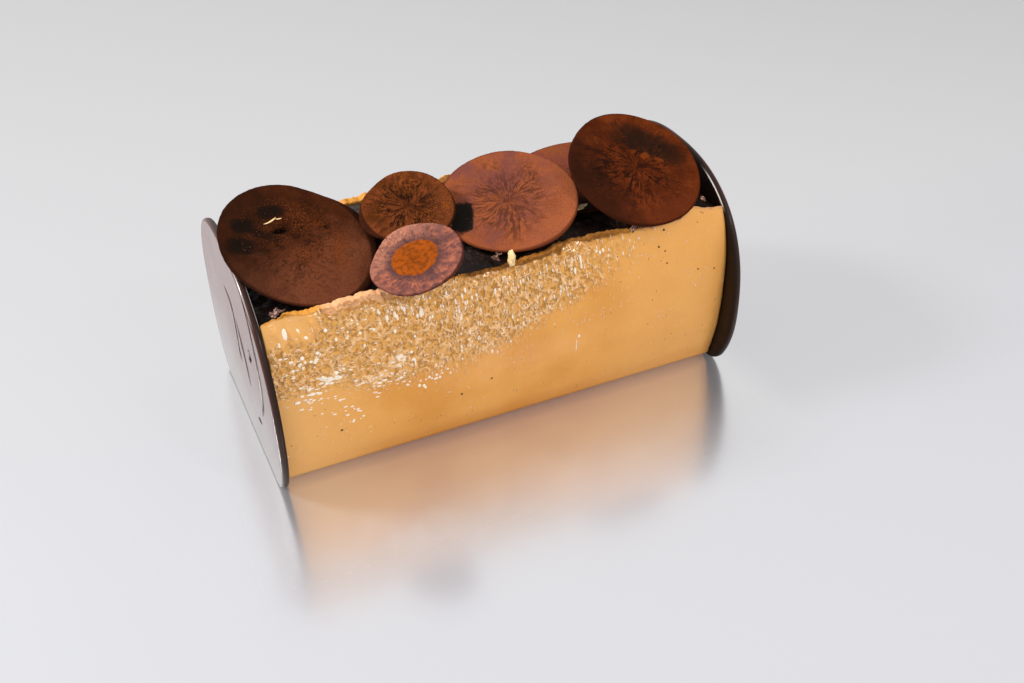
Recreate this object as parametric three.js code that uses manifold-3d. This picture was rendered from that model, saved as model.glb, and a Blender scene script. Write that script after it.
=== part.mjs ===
// Yule log cake: a caramel-glazed log with an open top full of dark chocolate filling, a large
// chocolate plate on each end and six thin chocolate discs lying over the opening.
// Millimetres. X runs along the log, Z is up, the log rests on Z = 0 and its middle is at X = 0.
import * as THREE from "three";
import { mergeVertices } from "three/addons/utils/BufferGeometryUtils.js";
import Module from "manifold-3d";

const wasm = await Module();
wasm.setup();

// ---------------------------------------------------------------- driving dimensions
const LOG_LENGTH = 159; // between the outer faces of the end plates
const RECENTRE = 0.7; // the left disc reaches past its plate, so the cake moves to sit evenly about X = 0
const GAP = 0.3; // clearance left between pieces that touch
const STATIONS = 44; // steps of the shell and the filling along the log
const WALL_STEPS = 7; // steps of each wall, from its shoulder down to its foot

const PLATE = {
  halfWidth: 44,
  widestHeight: 27,
  topRise: 44.6, // from the widest height to the top
  bottomReach: 41.1, // depth of the lower curve, cut flat by the table
  topExponent: 2.42,
  bottomExponent: 2.19,
  thickness: 2.4,
  edgeRound: 0.8,
  footHeight: 5, // the lower corners are rounded from here down
  footHalfWidth: 29.5,
  sideStep: 5.5, // height between the outline's points below the widest height
  topSteps: 36,
};

const WALL = {
  halfWidth: 37.2,
  widestHeight: 36,
  topReach: 43, // depth of the upper curve, cut off by the rim
  bottomReach: 58,
  exponent: 2.3,
  nearCollarHeight: 56.6, // the walls curve in above the shoulder, through the collar
  farCollarHeight: 54,
  shoulderHeight: 50,
  thickness: 2.5,
  rimSlope: 1.1, // the near rim's inner edge is this much lower than its outer edge
  farRimSlope: 0.6,
  rimUnevenness: 0.3,
  nearRimWaver: 0.25,
  thickRimFrom: -68, // along this stretch the rim is broken off level
  thickRimTo: -36,
  thickRimFade: 4,
  footHeight: 4.5,
  footHalfWidth: 27.5,
  cornerShare: 0.35, // the rounded corner's middle point, across and up
  cornerRise: 0.3,
  farRimHeight: 56.6,
  farRimSway: 0.8,
};

// Height of the broken near rim along the log, as [x, z] points joined smoothly.
const NEAR_RIM = [
  [-77, 61.2], [-72, 62.1], [-62, 61.5], [-45, 62.2], [-34, 61.5], [-14, 61.1],
  [6, 60.7], [13, 61.2], [19, 62.5], [33, 62.3], [46, 61.2], [61, 61.1],
  [65.5, 63.9], [70, 62.5], [77, 61.7],
];

const FILLING = {
  nearDrop: 3.2, // below the near rim
  farDrop: 1.2,
  crown: 61.6, // height along the middle of the log
  ripple: 0.7,
  dabRadius: 9, // a dab of filling under each disc carries it
  dabRise: 1,
  fadeFrom: 0.03, // the dabs fade out towards the walls, as shares of the width
  fadeTo: 0.2,
  discMargin: 4, // the filling also stays below a disc this far past its edge
  stepsAcross: 22,
};

const DISC_THICKNESS = 1.2;
const DISC_EDGE_ROUND = 0.3;
const DISC_SIDES = 40;

// Each disc: centre of its thickness, radius, and how far it tips from level, towards a
// compass direction in the XY plane (degrees from +X). wobble is the unevenness of its edge.
// lobes are where its edge bulges out or is flattened: direction in the disc's own plane,
// how far the edge moves, and how wide the place is (degrees, mm, degrees).
const DISCS = [
  {
    name: "disc_left_dark",
    colour: 0x2a1009,
    at: [-57.95, -7.1, 69.65],
    radius: 23.6,
    tip: 26.8,
    towards: -57,
    wobble: 0.15,
    lobes: [
      [12, 2.6, 30],
      [60, -1.2, 22],
      [-45, 1.9, 14],
    ],
  },
  {
    name: "disc_small_dark",
    colour: 0x341409,
    at: [-20.7, -2.5, 70.5],
    radius: 14.7,
    tip: 22.4,
    towards: -97,
    wobble: 0.3,
    lobes: [
      [122, -1.6, 28],
      [-165, 1.4, 22],
    ],
  },
  {
    name: "disc_small_rose",
    colour: 0x6b3b33,
    at: [-27.8, -28.1, 68.3],
    radius: 14.6,
    tip: 18.7,
    towards: -155,
    wobble: 0.35,
    lobes: [[140, -1.4, 30]],
  },
  {
    name: "disc_middle_milk",
    colour: 0x7a3d2a,
    at: [11.45, -7.95, 67.7],
    radius: 22.4,
    tip: 15.4,
    towards: -121,
    wobble: 0.3,
    lobes: [],
  },
  {
    name: "disc_flat_back",
    colour: 0x6e3524,
    at: [41.5, 3.6, 63.4],
    radius: 22.9,
    tip: 4.4,
    towards: 170,
    wobble: 0.3,
    lobes: [],
  },
  {
    name: "disc_right_dark",
    colour: 0x2c0e08,
    at: [52.8, -15.5, 73.1],
    radius: 22.6,
    tip: 26.3,
    towards: -81,
    wobble: 0.3,
    lobes: [[48, -0.7, 30]],
  },
];

// Loose flakes of broken chocolate and glaze: place, size along each axis, turn about Z.
const FLAKES = [
  { name: "flake_left", colour: 0x3a1c12, at: [-71.6, -29.4, 63.6], size: [5.5, 2.2, 2.2], turn: 20 },
  { name: "flake_middle", colour: 0x1d0d08, at: [-2.2, -29, 62.6], size: [4.6, 2.4, 2.6], turn: -15 },
  { name: "chip_pale", colour: 0xe8bd78, at: [0.9, -33.5, 63.8], size: [3.2, 1.6, 5.2], turn: 10 },
  { name: "flake_centre_right", colour: 0x4a3628, at: [43.6, -30.4, 62.6], size: [3.2, 1.8, 2.4], turn: 35 },
  { name: "flake_right", colour: 0x7a3a20, at: [69.8, -30.4, 65.6], size: [1.8, 1.6, 3.6], turn: 0 },
];
const FLAKE_UNEVENNESS = 0.18;

// Grooves like broken growth rings, cut into the outer face of each plate: greatest width, and
// the [y, z] points that the groove passes through.
const GROOVE_DEPTH = 0.5;
const GROOVE_STEPS = 14;
const GROOVES = [
  { width: 1.3, through: [[6, 52.9], [-1.1, 50.7], [-2.3, 45], [-1.9, 33.7], [-3.2, 29.4]] },
  { width: 1.4, through: [[-5.2, 47.6], [-9.7, 37.6], [-12.4, 26.2]] },
  { width: 2.2, through: [[-21.8, 45.6], [-19.3, 41.2]] },
  {
    width: 1.3,
    through: [[-23.5, 67.1], [-27.4, 62.1], [-30.2, 51.9], [-31.3, 42.2], [-29.6, 31.6],
      [-25.6, 24.1]],
  },
  { width: 1.1, through: [[-16.6, 16.1], [-21, 17.4]] },
];

// ---------------------------------------------------------------- materials
const FINISH = {
  caramel: new THREE.MeshStandardMaterial({ color: 0xd9984f, roughness: 0.3, metalness: 0 }),
  filling: new THREE.MeshStandardMaterial({ color: 0x1c0c07, roughness: 0.4, metalness: 0 }),
  plate: new THREE.MeshStandardMaterial({ color: 0x2b1410, roughness: 0.2, metalness: 0 }),
};

function chocolate(colour) {
  return new THREE.MeshStandardMaterial({ color: colour, roughness: 0.7, metalness: 0 });
}

// ---------------------------------------------------------------- helpers
// Height or half-width of a superellipse quarter: 1 at s = 0, falling to 0 at s = 1.
function bulge(s, exponent) {
  return Math.pow(Math.max(0, 1 - Math.pow(Math.abs(s), exponent)), 1 / exponent);
}

// Smooth curve through [x, value] points, held level past both ends.
function smoothThrough(points, x) {
  const last = points.length - 1;
  if (x <= points[0][0]) return points[0][1];
  if (x >= points[last][0]) return points[last][1];
  const i = points.findIndex((p) => p[0] > x) - 1;
  const t = THREE.MathUtils.smoothstep(x, points[i][0], points[i + 1][0]);
  return THREE.MathUtils.lerp(points[i][1], points[i + 1][1], t);
}

// A small uneven wave, always the same, for broken and piped edges.
function waver(x, seed) {
  const long = 0.5 * Math.sin(0.83 * x + seed);
  const middling = 0.3 * Math.sin(1.91 * x + 2.3 * seed);
  const short = 0.2 * Math.sin(3.7 * x + seed);
  return long + middling + short;
}

// Closed body through equal outlines, one for each x. An outline is [y, z] points that run
// counterclockwise as seen from +X.
function loft(xs, outlines) {
  const count = outlines[0].length;
  const vertices = [];
  const faces = [];
  xs.forEach((x, i) => outlines[i].forEach(([y, z]) => vertices.push(x, y, z)));
  for (let i = 0; i < xs.length - 1; i++) {
    for (let j = 0; j < count; j++) {
      const k = (j + 1) % count;
      const a = i * count + j;
      const b = i * count + k;
      const c = (i + 1) * count + k;
      const d = (i + 1) * count + j;
      faces.push(a, c, d, a, b, c);
    }
  }
  const cap = (outline) => {
    const points = outline.map(([y, z]) => new THREE.Vector2(y, z));
    return THREE.ShapeUtils.triangulateShape(points, []);
  };
  const end = (xs.length - 1) * count;
  cap(outlines[0]).forEach(([a, b, c]) => faces.push(a, c, b));
  cap(outlines[xs.length - 1]).forEach(([a, b, c]) => faces.push(end + a, end + b, end + c));
  const geometry = new THREE.BufferGeometry();
  geometry.setAttribute("position", new THREE.Float32BufferAttribute(vertices, 3));
  geometry.setIndex(faces);
  geometry.computeVertexNormals();
  return geometry;
}

function toManifold(geometry) {
  const bare = geometry.clone();
  bare.deleteAttribute("normal");
  bare.deleteAttribute("uv");
  const merged = mergeVertices(bare, 1e-4);
  return new wasm.Manifold(
    new wasm.Mesh({
      numProp: 3,
      vertProperties: merged.attributes.position.array,
      triVerts: new Uint32Array(merged.index.array),
    }),
  );
}

function fromManifold(solid) {
  const mesh = solid.getMesh();
  const geometry = new THREE.BufferGeometry();
  geometry.setAttribute("position", new THREE.Float32BufferAttribute(mesh.vertProperties, 3));
  geometry.setIndex(Array.from(mesh.triVerts));
  geometry.computeVertexNormals();
  return geometry;
}

function named(name, geometry, material) {
  const mesh = new THREE.Mesh(geometry, material);
  mesh.name = name;
  return mesh;
}

// ---------------------------------------------------------------- the log's section
const innerEnd = LOG_LENGTH / 2 - PLATE.thickness - GAP; // where shell and filling stop

function wallHalfWidth(z) {
  const reach = z > WALL.widestHeight ? WALL.topReach : WALL.bottomReach;
  return WALL.halfWidth * bulge((z - WALL.widestHeight) / reach, WALL.exponent);
}

function nearRim(x) {
  return smoothThrough(NEAR_RIM, x) + WALL.nearRimWaver * waver(x, 1);
}

// How far the rim's inner edge lies below its outer edge.
function rimDrop(x) {
  const fade = WALL.thickRimFade;
  const entering = THREE.MathUtils.smoothstep(x, WALL.thickRimFrom - fade, WALL.thickRimFrom);
  const leaving = THREE.MathUtils.smoothstep(x, WALL.thickRimTo, WALL.thickRimTo + fade);
  const slope = WALL.rimSlope * (1 - entering * (1 - leaving));
  return slope + WALL.rimUnevenness * Math.abs(waver(x, 7));
}

function farRim(x) {
  return WALL.farRimHeight + WALL.farRimSway * waver(0.45 * x, 4) + WALL.nearRimWaver * waver(x, 2);
}

// Points [y, z] of one wall, from its top down to its foot, set in by inset from the outside.
function wallPoints(top, side, inset, steps) {
  const foot = WALL.footHeight + inset;
  const collar = side < 0 ? WALL.nearCollarHeight : WALL.farCollarHeight;
  const heights = [top, collar];
  for (let i = 0; i <= steps; i++) {
    heights.push(THREE.MathUtils.lerp(WALL.shoulderHeight, foot, i / steps));
  }
  const points = heights.map((z) => [side * (wallHalfWidth(z) - inset), z]);
  const corner = wallHalfWidth(foot) - inset;
  const rounded = THREE.MathUtils.lerp(corner, WALL.footHalfWidth, WALL.cornerShare);
  points.push([side * rounded, inset + WALL.cornerRise * WALL.footHeight]);
  points.push([side * WALL.footHalfWidth, inset]);
  return points;
}

// Outline of a trough or of what lies in it, open or closed at the top by the caller.
function basin(nearTop, farTop, inset, steps) {
  const near = wallPoints(nearTop, -1, inset, steps);
  const far = wallPoints(farTop, 1, inset, steps);
  return [...near, ...far.reverse()];
}

function stations(count) {
  const along = (i) => THREE.MathUtils.lerp(-innerEnd, innerEnd, i / count);
  return Array.from({ length: count + 1 }, (_, i) => along(i));
}

// ---------------------------------------------------------------- caramel shell
function caramelShell() {
  const xs = stations(STATIONS);
  const outlines = xs.map((x) => {
    const nearTop = nearRim(x);
    const farTop = farRim(x);
    const outer = basin(nearTop, farTop, 0, WALL_STEPS);
    const innerFar = farTop - WALL.farRimSlope;
    const inner = basin(nearTop - rimDrop(x), innerFar, WALL.thickness, WALL_STEPS - 1);
    return [...outer, ...inner.reverse()];
  });
  return named("caramel_shell", loft(xs, outlines), FINISH.caramel);
}

// ---------------------------------------------------------------- discs
// Frame of a disc: unit normal, and the height of its underside above a point (x, y).
function discNormal(disc) {
  const tip = THREE.MathUtils.degToRad(disc.tip);
  const towards = THREE.MathUtils.degToRad(disc.towards);
  return new THREE.Vector3(
    Math.sin(tip) * Math.cos(towards),
    Math.sin(tip) * Math.sin(towards),
    Math.cos(tip),
  );
}

function undersideAt(disc, x, y) {
  const n = discNormal(disc);
  const [cx, cy, cz] = disc.at;
  return cz - (n.x * (x - cx) + n.y * (y - cy)) / n.z - (DISC_THICKNESS / 2 + GAP) / n.z;
}

// How far a disc's lobes move its edge at an angle in its own plane.
function lobesAt(disc, angle) {
  return disc.lobes.reduce((sum, [towards, reach, width]) => {
    const turn = THREE.MathUtils.radToDeg(angle) - towards;
    const off = THREE.MathUtils.euclideanModulo(turn + 180, 360) - 180;
    return sum + reach * Math.exp(-((off / width) ** 2));
  }, 0);
}

function discMesh(disc, seed) {
  const outline = new THREE.Shape();
  for (let i = 0; i < DISC_SIDES; i++) {
    const angle = (2 * Math.PI * i) / DISC_SIDES;
    const wave = Math.sin(2 * angle + seed) + 0.5 * Math.sin(5 * angle + 2 * seed);
    const radius = disc.radius + disc.wobble * wave + lobesAt(disc, angle);
    const point = [radius * Math.cos(angle), radius * Math.sin(angle)];
    if (i === 0) outline.moveTo(...point);
    else outline.lineTo(...point);
  }
  outline.closePath();
  const geometry = new THREE.ExtrudeGeometry(outline, {
    depth: DISC_THICKNESS - 2 * DISC_EDGE_ROUND,
    bevelThickness: DISC_EDGE_ROUND,
    bevelSize: DISC_EDGE_ROUND,
    bevelOffset: -DISC_EDGE_ROUND,
    bevelSegments: 1,
  });
  geometry.translate(0, 0, DISC_EDGE_ROUND - DISC_THICKNESS / 2);
  const mesh = named(disc.name, geometry, chocolate(disc.colour));
  mesh.position.set(...disc.at);
  mesh.quaternion.setFromUnitVectors(new THREE.Vector3(0, 0, 1), discNormal(disc));
  return mesh;
}

// ---------------------------------------------------------------- chocolate filling
// Top of the filling: a low crown between the rims, with a dab of filling under each disc that
// reaches up to it.
function fillingTop(x, y, nearY, nearZ, farY, farZ) {
  const across = (y - nearY) / (farY - nearY);
  const edge = THREE.MathUtils.lerp(nearZ, farZ, across);
  let top = edge + (FILLING.crown - edge) * Math.sin(Math.PI * across);
  top += FILLING.ripple * waver(0.5 * x + 0.31 * y, 3) * Math.sin(Math.PI * across);
  const inwards = Math.min(across, 1 - across);
  const fade = THREE.MathUtils.smoothstep(inwards, FILLING.fadeFrom, FILLING.fadeTo);
  for (const disc of DISCS) {
    const reach = Math.hypot(x - disc.at[0], y - disc.at[1]) / FILLING.dabRadius;
    const dab = Math.exp(-reach * reach) * fade;
    top += Math.max(0, disc.at[2] + FILLING.dabRise - top) * dab;
  }
  return DISCS.reduce((height, disc) => {
    const distance = Math.hypot(x - disc.at[0], y - disc.at[1]);
    const under = distance < disc.radius + FILLING.discMargin;
    return under ? Math.min(height, undersideAt(disc, x, y)) : height;
  }, top);
}

function chocolateFilling() {
  const xs = stations(STATIONS);
  const across = FILLING.stepsAcross;
  const inset = WALL.thickness + GAP;
  const outlines = xs.map((x) => {
    const nearZ = nearRim(x) - FILLING.nearDrop;
    const farZ = farRim(x) - FILLING.farDrop;
    const sides = basin(nearZ, farZ, inset, WALL_STEPS - 1);
    const nearY = sides[0][0];
    const farY = sides[sides.length - 1][0];
    const top = [];
    for (let i = across - 1; i > 0; i--) {
      const y = THREE.MathUtils.lerp(nearY, farY, i / across);
      top.push([y, fillingTop(x, y, nearY, nearZ, farY, farZ)]);
    }
    return [...sides, ...top];
  });
  return named("chocolate_filling", loft(xs, outlines), FINISH.filling);
}

// ---------------------------------------------------------------- end plates
function plateShape() {
  const shape = new THREE.Shape();
  const foot = PLATE.footHeight;
  const lowerHalf = (z) => {
    const depth = (PLATE.widestHeight - z) / PLATE.bottomReach;
    return PLATE.halfWidth * bulge(depth, PLATE.bottomExponent);
  };
  const heights = [];
  for (let z = foot + PLATE.sideStep; z < PLATE.widestHeight - 1; z += PLATE.sideStep) {
    heights.push(z);
  }
  shape.moveTo(-PLATE.footHalfWidth, 0);
  shape.lineTo(PLATE.footHalfWidth, 0);
  shape.quadraticCurveTo(lowerHalf(0), 0, lowerHalf(foot), foot);
  heights.forEach((z) => shape.lineTo(lowerHalf(z), z));
  for (let i = 0; i <= PLATE.topSteps; i++) {
    const angle = (Math.PI * i) / PLATE.topSteps;
    const y = Math.sign(Math.cos(angle)) * Math.pow(Math.abs(Math.cos(angle)), 2 / PLATE.topExponent);
    const rise = Math.pow(Math.sin(angle), 2 / PLATE.topExponent);
    shape.lineTo(PLATE.halfWidth * y, PLATE.widestHeight + PLATE.topRise * rise);
  }
  heights.reverse().forEach((z) => shape.lineTo(-lowerHalf(z), z));
  shape.lineTo(-lowerHalf(foot), foot);
  shape.quadraticCurveTo(-lowerHalf(0), 0, -PLATE.footHalfWidth, 0);
  return shape;
}

// One groove in the plate's own plane, pointed at both ends and sunk from height 0 downwards.
function grooveCutter({ width, through }) {
  const curve = new THREE.SplineCurve(through.map(([y, z]) => new THREE.Vector2(y, z)));
  const edges = { left: [], right: [] };
  for (let i = 0; i <= GROOVE_STEPS; i++) {
    const t = i / GROOVE_STEPS;
    const half = (width / 2) * Math.sqrt(Math.sin(Math.PI * t));
    const middle = curve.getPointAt(t);
    const along = curve.getTangentAt(t);
    const across = new THREE.Vector2(-along.y, along.x).multiplyScalar(half);
    edges.left.push(middle.clone().add(across));
    if (i > 0 && i < GROOVE_STEPS) edges.right.push(middle.clone().sub(across));
  }
  const band = new THREE.Shape([...edges.left, ...edges.right.reverse()]);
  const cutter = new THREE.ExtrudeGeometry(band, { depth: 2 * GROOVE_DEPTH, bevelEnabled: false });
  cutter.translate(0, 0, -GROOVE_DEPTH);
  return toManifold(cutter);
}

// Turns a flat shape's X, Y and depth into the log's Y, Z and X.
const STAND_ALONG_X = new THREE.Matrix4().makeBasis(
  new THREE.Vector3(0, 1, 0),
  new THREE.Vector3(0, 0, 1),
  new THREE.Vector3(1, 0, 0),
);

function endPlate(name, side) {
  const body = new THREE.ExtrudeGeometry(plateShape(), {
    depth: PLATE.thickness - 2 * PLATE.edgeRound,
    bevelThickness: PLATE.edgeRound,
    bevelSize: PLATE.edgeRound,
    bevelOffset: -PLATE.edgeRound,
    bevelSegments: 2,
    curveSegments: 4,
  });
  body.translate(0, 0, PLATE.edgeRound);
  const outerFace = side < 0 ? 0 : PLATE.thickness;
  let solid = toManifold(body);
  for (const groove of GROOVES) {
    solid = solid.subtract(grooveCutter(groove).translate([0, 0, outerFace]));
  }
  const geometry = fromManifold(solid).applyMatrix4(STAND_ALONG_X);
  const mesh = named(name, geometry, FINISH.plate);
  mesh.position.x = side < 0 ? -LOG_LENGTH / 2 : LOG_LENGTH / 2 - PLATE.thickness;
  return mesh;
}

// ---------------------------------------------------------------- flakes
function flakeMesh(flake, seed) {
  const geometry = new THREE.IcosahedronGeometry(0.5, 0);
  const place = geometry.attributes.position;
  for (let i = 0; i < place.count; i++) {
    const [x, y, z] = [place.getX(i), place.getY(i), place.getZ(i)];
    const chip = 1 + FLAKE_UNEVENNESS * Math.sin(7 * x + 5 * y + 3 * z + seed);
    place.setXYZ(i, x * chip * flake.size[0], y * chip * flake.size[1], z * chip * flake.size[2]);
  }
  const mesh = named(flake.name, geometry, chocolate(flake.colour));
  mesh.position.set(...flake.at);
  mesh.rotation.z = THREE.MathUtils.degToRad(flake.turn);
  return mesh;
}

// ---------------------------------------------------------------- the cake
const cake = new THREE.Group();
cake.add(caramelShell(), chocolateFilling());
cake.add(endPlate("end_plate_left", -1), endPlate("end_plate_right", 1));
DISCS.forEach((disc, i) => cake.add(discMesh(disc, i + 1)));
FLAKES.forEach((flake, i) => cake.add(flakeMesh(flake, i)));

cake.position.x = RECENTRE;

export default cake;
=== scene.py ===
"""Yule log cake: a caramel-glazed log between chocolate plates, topped with thin chocolate discs.

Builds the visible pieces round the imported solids, dresses them with procedural finishes, and
sets the pale table, the soft lights and the camera.
"""

import logging
import math
from dataclasses import dataclass
from enum import Enum
from typing import Callable, Optional, Sequence, Union

import bmesh
import bpy
import numpy as np
from mathutils import Matrix, Vector, noise


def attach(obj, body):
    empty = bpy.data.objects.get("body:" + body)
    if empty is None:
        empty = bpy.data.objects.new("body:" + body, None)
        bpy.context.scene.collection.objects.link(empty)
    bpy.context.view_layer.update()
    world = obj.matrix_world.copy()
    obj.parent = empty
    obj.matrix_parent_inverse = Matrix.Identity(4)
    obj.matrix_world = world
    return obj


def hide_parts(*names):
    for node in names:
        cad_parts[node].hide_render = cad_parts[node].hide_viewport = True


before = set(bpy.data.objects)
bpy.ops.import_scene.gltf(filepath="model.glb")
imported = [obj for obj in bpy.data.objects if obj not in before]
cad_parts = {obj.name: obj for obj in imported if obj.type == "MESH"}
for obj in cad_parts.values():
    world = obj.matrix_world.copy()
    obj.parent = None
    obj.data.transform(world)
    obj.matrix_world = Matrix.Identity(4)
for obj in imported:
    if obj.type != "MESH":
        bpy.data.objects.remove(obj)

MM = 0.001  # every size below is in millimetres, and Blender works in metres
RECENTRE = 0.7  # the log's own frame sits this far along X from the part's frame
LOG_LENGTH = 159.0  # between the outer faces of the end plates
PLATE_THICKNESS = 2.4
DISC_THICKNESS = 1.2
GAP = 0.3  # clearance between pieces that touch
ROOT = "root"

log = logging.getLogger("yule_log")

Socket = bpy.types.NodeSocket
Value = Union["Wire", Socket, float, int, bool, str, Sequence[float], bpy.types.ID]
Piece = bpy.types.Object
Material = bpy.types.Material
Inputs = dict[Union[str, int], Value]
Sockets = dict[str, str]
Faces = list[list[int]]
Across = Union["Wire", np.ndarray]
Spot = tuple[float, float, float]
BeadPlace = tuple[float, float, float, float]  # X, Z, half-width and half-height
Colour = tuple[float, float, float, float]


# ---- small helpers
def tone(code: str) -> Colour:
    """Linear colour of a six-digit screen colour.

    Args:
        code: Red, green and blue as hexadecimal digits, such as "d89a50".

    Returns:
        Linear red, green, blue and an alpha of one.
    """
    parts = [int(code[i : i + 2], 16) / 255 for i in (0, 2, 4)]
    red, green, blue = (c / 12.92 if c <= 0.04045 else ((c + 0.055) / 1.055) ** 2.4 for c in parts)
    return red, green, blue, 1.0


def smoothstep(value: np.ndarray, low: float, high: float) -> np.ndarray:
    """Smooth rise from 0 at low to 1 at high."""
    t = np.clip((np.asarray(value, float) - low) / (high - low), 0, 1)
    return t * t * (3 - 2 * t)


def waver(x: np.ndarray, seed: float) -> np.ndarray:
    """A small uneven wave along the log, always the same for one seed."""
    slow, quick = 0.5 * np.sin(0.83 * x + seed), 0.3 * np.sin(1.91 * x + 2.3 * seed)
    return slow + quick + 0.2 * np.sin(3.7 * x + seed)


@dataclass(frozen=True)
class Stretch:
    """A stretch with soft ends: where it begins, where it is whole, where it fades and ends."""

    begins: float
    whole: float
    fades: float
    ends: float

    def at(self, x: np.ndarray) -> np.ndarray:
        """1 within the stretch and 0 outside it."""
        return smoothstep(x, self.begins, self.whole) * (1 - smoothstep(x, self.fades, self.ends))


def turned(x: Across, y: Across, degrees: float) -> tuple[Across, Across]:
    """Distances along two axes that are turned by an angle, in a finish or on a mesh."""
    cos, sin = math.cos(math.radians(degrees)), math.sin(math.radians(degrees))
    return x * cos + y * sin, y * cos - x * sin


def lumps(points: np.ndarray, scale: float, octaves: int = 2) -> np.ndarray:
    """Smooth random heights from about -1 to 1, for places in rows and lumps to a millimetre."""
    return np.array([noise.fractal(Vector(p) * scale, 0.7, 2.1, octaves) for p in points])


def quads(rows: int, columns: int) -> Faces:
    """Faces between rows of vertices, each row closed into a ring.

    Args:
        rows: Number of rows of vertices.
        columns: Number of vertices in a row.

    Returns:
        Four vertex numbers for each face.
    """
    i = np.arange(rows - 1)[:, None] * columns
    j = np.arange(columns)[None, :]
    k = (j + 1) % columns
    return np.stack([i + j, i + k, i + columns + k, i + columns + j], -1).reshape(-1, 4).tolist()


def tube(rows: int, columns: int) -> Faces:
    """The faces between the rows of a tube, and a cap on each of its ends."""
    first, last = range(columns), range((rows - 1) * columns, rows * columns)
    return quads(rows, columns) + [list(first)[::-1], list(last)]


def linked(name: str, data: bpy.types.ID) -> Piece:
    """Puts a new object with its data into the scene."""
    piece = bpy.data.objects.new(name, data)
    bpy.context.scene.collection.objects.link(piece)
    return piece


def new_piece(
    name: str, vertices: np.ndarray, faces: Faces, material: Optional[Material] = None
) -> Piece:
    """Makes a smooth-shaded mesh object from places in the log's own frame.

    Args:
        name: Name of the object and of its mesh.
        vertices: Places in millimetres, one row each.
        faces: Vertex numbers of each face.
        material: Finish of the piece, where it has one yet.

    Returns:
        The new object, at the origin, with its place in its mesh.
    """
    mesh = bpy.data.meshes.new(name)
    placed = (np.asarray(vertices, float) + [RECENTRE, 0, 0]) * MM
    mesh.from_pydata(placed.tolist(), [], faces)
    mesh.validate()
    mesh.shade_smooth()
    if material:
        mesh.materials.append(material)
    return linked(name, mesh)


def paint(piece: Piece, name: str, values: np.ndarray) -> None:
    """Stores one number for each vertex, for the finish to read."""
    attribute = piece.data.attributes.new(name, "FLOAT", "POINT")
    attribute.data.foreach_set("value", np.asarray(values, np.float32).ravel())


def paint_places(piece: Piece, places: np.ndarray) -> None:
    """Stores where each vertex lies before any relief, for the glaze's patterns to follow."""
    attribute = piece.data.attributes.new("glaze_place", "FLOAT_VECTOR", "POINT")
    attribute.data.foreach_set("vector", np.asarray(places, np.float32).ravel())


def gathered(parts: Sequence[tuple[np.ndarray, Faces]]) -> tuple[np.ndarray, Faces]:
    """Vertices and faces of several parts as those of one piece."""
    faces: Faces = []
    start = 0
    for vertices, own in parts:
        faces += [[start + i for i in face] for face in own]
        start += len(vertices)
    return np.vstack([vertices for vertices, _ in parts]), faces


def settle(piece: Piece, slot: str, *nodes: str) -> Piece:
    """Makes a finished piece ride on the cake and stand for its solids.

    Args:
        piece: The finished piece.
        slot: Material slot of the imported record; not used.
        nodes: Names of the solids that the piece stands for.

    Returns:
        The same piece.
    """
    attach(piece, ROOT)
    if nodes:
        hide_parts(*nodes)
    log.info("%s: %d faces", piece.name, len(piece.data.polygons))
    return piece


def outward(piece: Piece) -> Piece:
    """Turns every face of a closed piece to point outwards."""
    mesh = bmesh.new()
    mesh.from_mesh(piece.data)
    bmesh.ops.recalc_face_normals(mesh, faces=mesh.faces)
    mesh.to_mesh(piece.data)
    mesh.free()
    return piece


# ---- node trees
def _operator(operation: str, swapped: bool = False) -> Callable[["Wire", Value], "Wire"]:
    """Makes the method behind a plain sign.

    Args:
        operation: Blender's name of the sum.
        swapped: True where the other value stands before the sign.

    Returns:
        A method that adds the node for the sum.
    """

    def method(wire: "Wire", other: Value) -> "Wire":
        """The sum of this value and another."""
        return wire.sum(operation, other, wire) if swapped else wire.sum(operation, wire, other)

    return method


class Wire:
    """A value in a node tree. Plain signs between wires and numbers add the nodes for the sum."""

    def __init__(self, graph: "Graph", socket: Socket) -> None:
        """Takes the socket that gives the value."""
        self.graph, self.socket = graph, socket

    @staticmethod
    def is_vector(value: Value) -> bool:
        """True for a vector or a colour."""
        if isinstance(value, Wire):
            return value.socket.type in ("VECTOR", "RGBA")
        return isinstance(value, tuple)

    def sum(self, operation: str, a: Value, b: Value) -> "Wire":
        """Adds the node for one sum.

        Args:
            operation: Blender's name of the sum.
            a: First number or vector.
            b: Second number or vector.

        Returns:
            What the node gives.
        """
        vectors = (Wire.is_vector(a), Wire.is_vector(b))
        if not any(vectors):
            return self.graph.wire("ShaderNodeMath", {0: a, 1: b}, operation=operation)
        if operation == "MULTIPLY" and not all(vectors):
            vector, factor = (a, b) if vectors[0] else (b, a)
            values = {0: vector, "Scale": factor}
            return self.graph.wire("ShaderNodeVectorMath", values, operation="SCALE")
        return self.graph.wire("ShaderNodeVectorMath", {0: a, 1: b}, operation=operation)

    __add__ = __radd__ = _operator("ADD")
    __sub__, __rsub__ = _operator("SUBTRACT"), _operator("SUBTRACT", swapped=True)
    __mul__ = __rmul__ = _operator("MULTIPLY")
    __truediv__, __rtruediv__ = _operator("DIVIDE"), _operator("DIVIDE", swapped=True)


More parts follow.
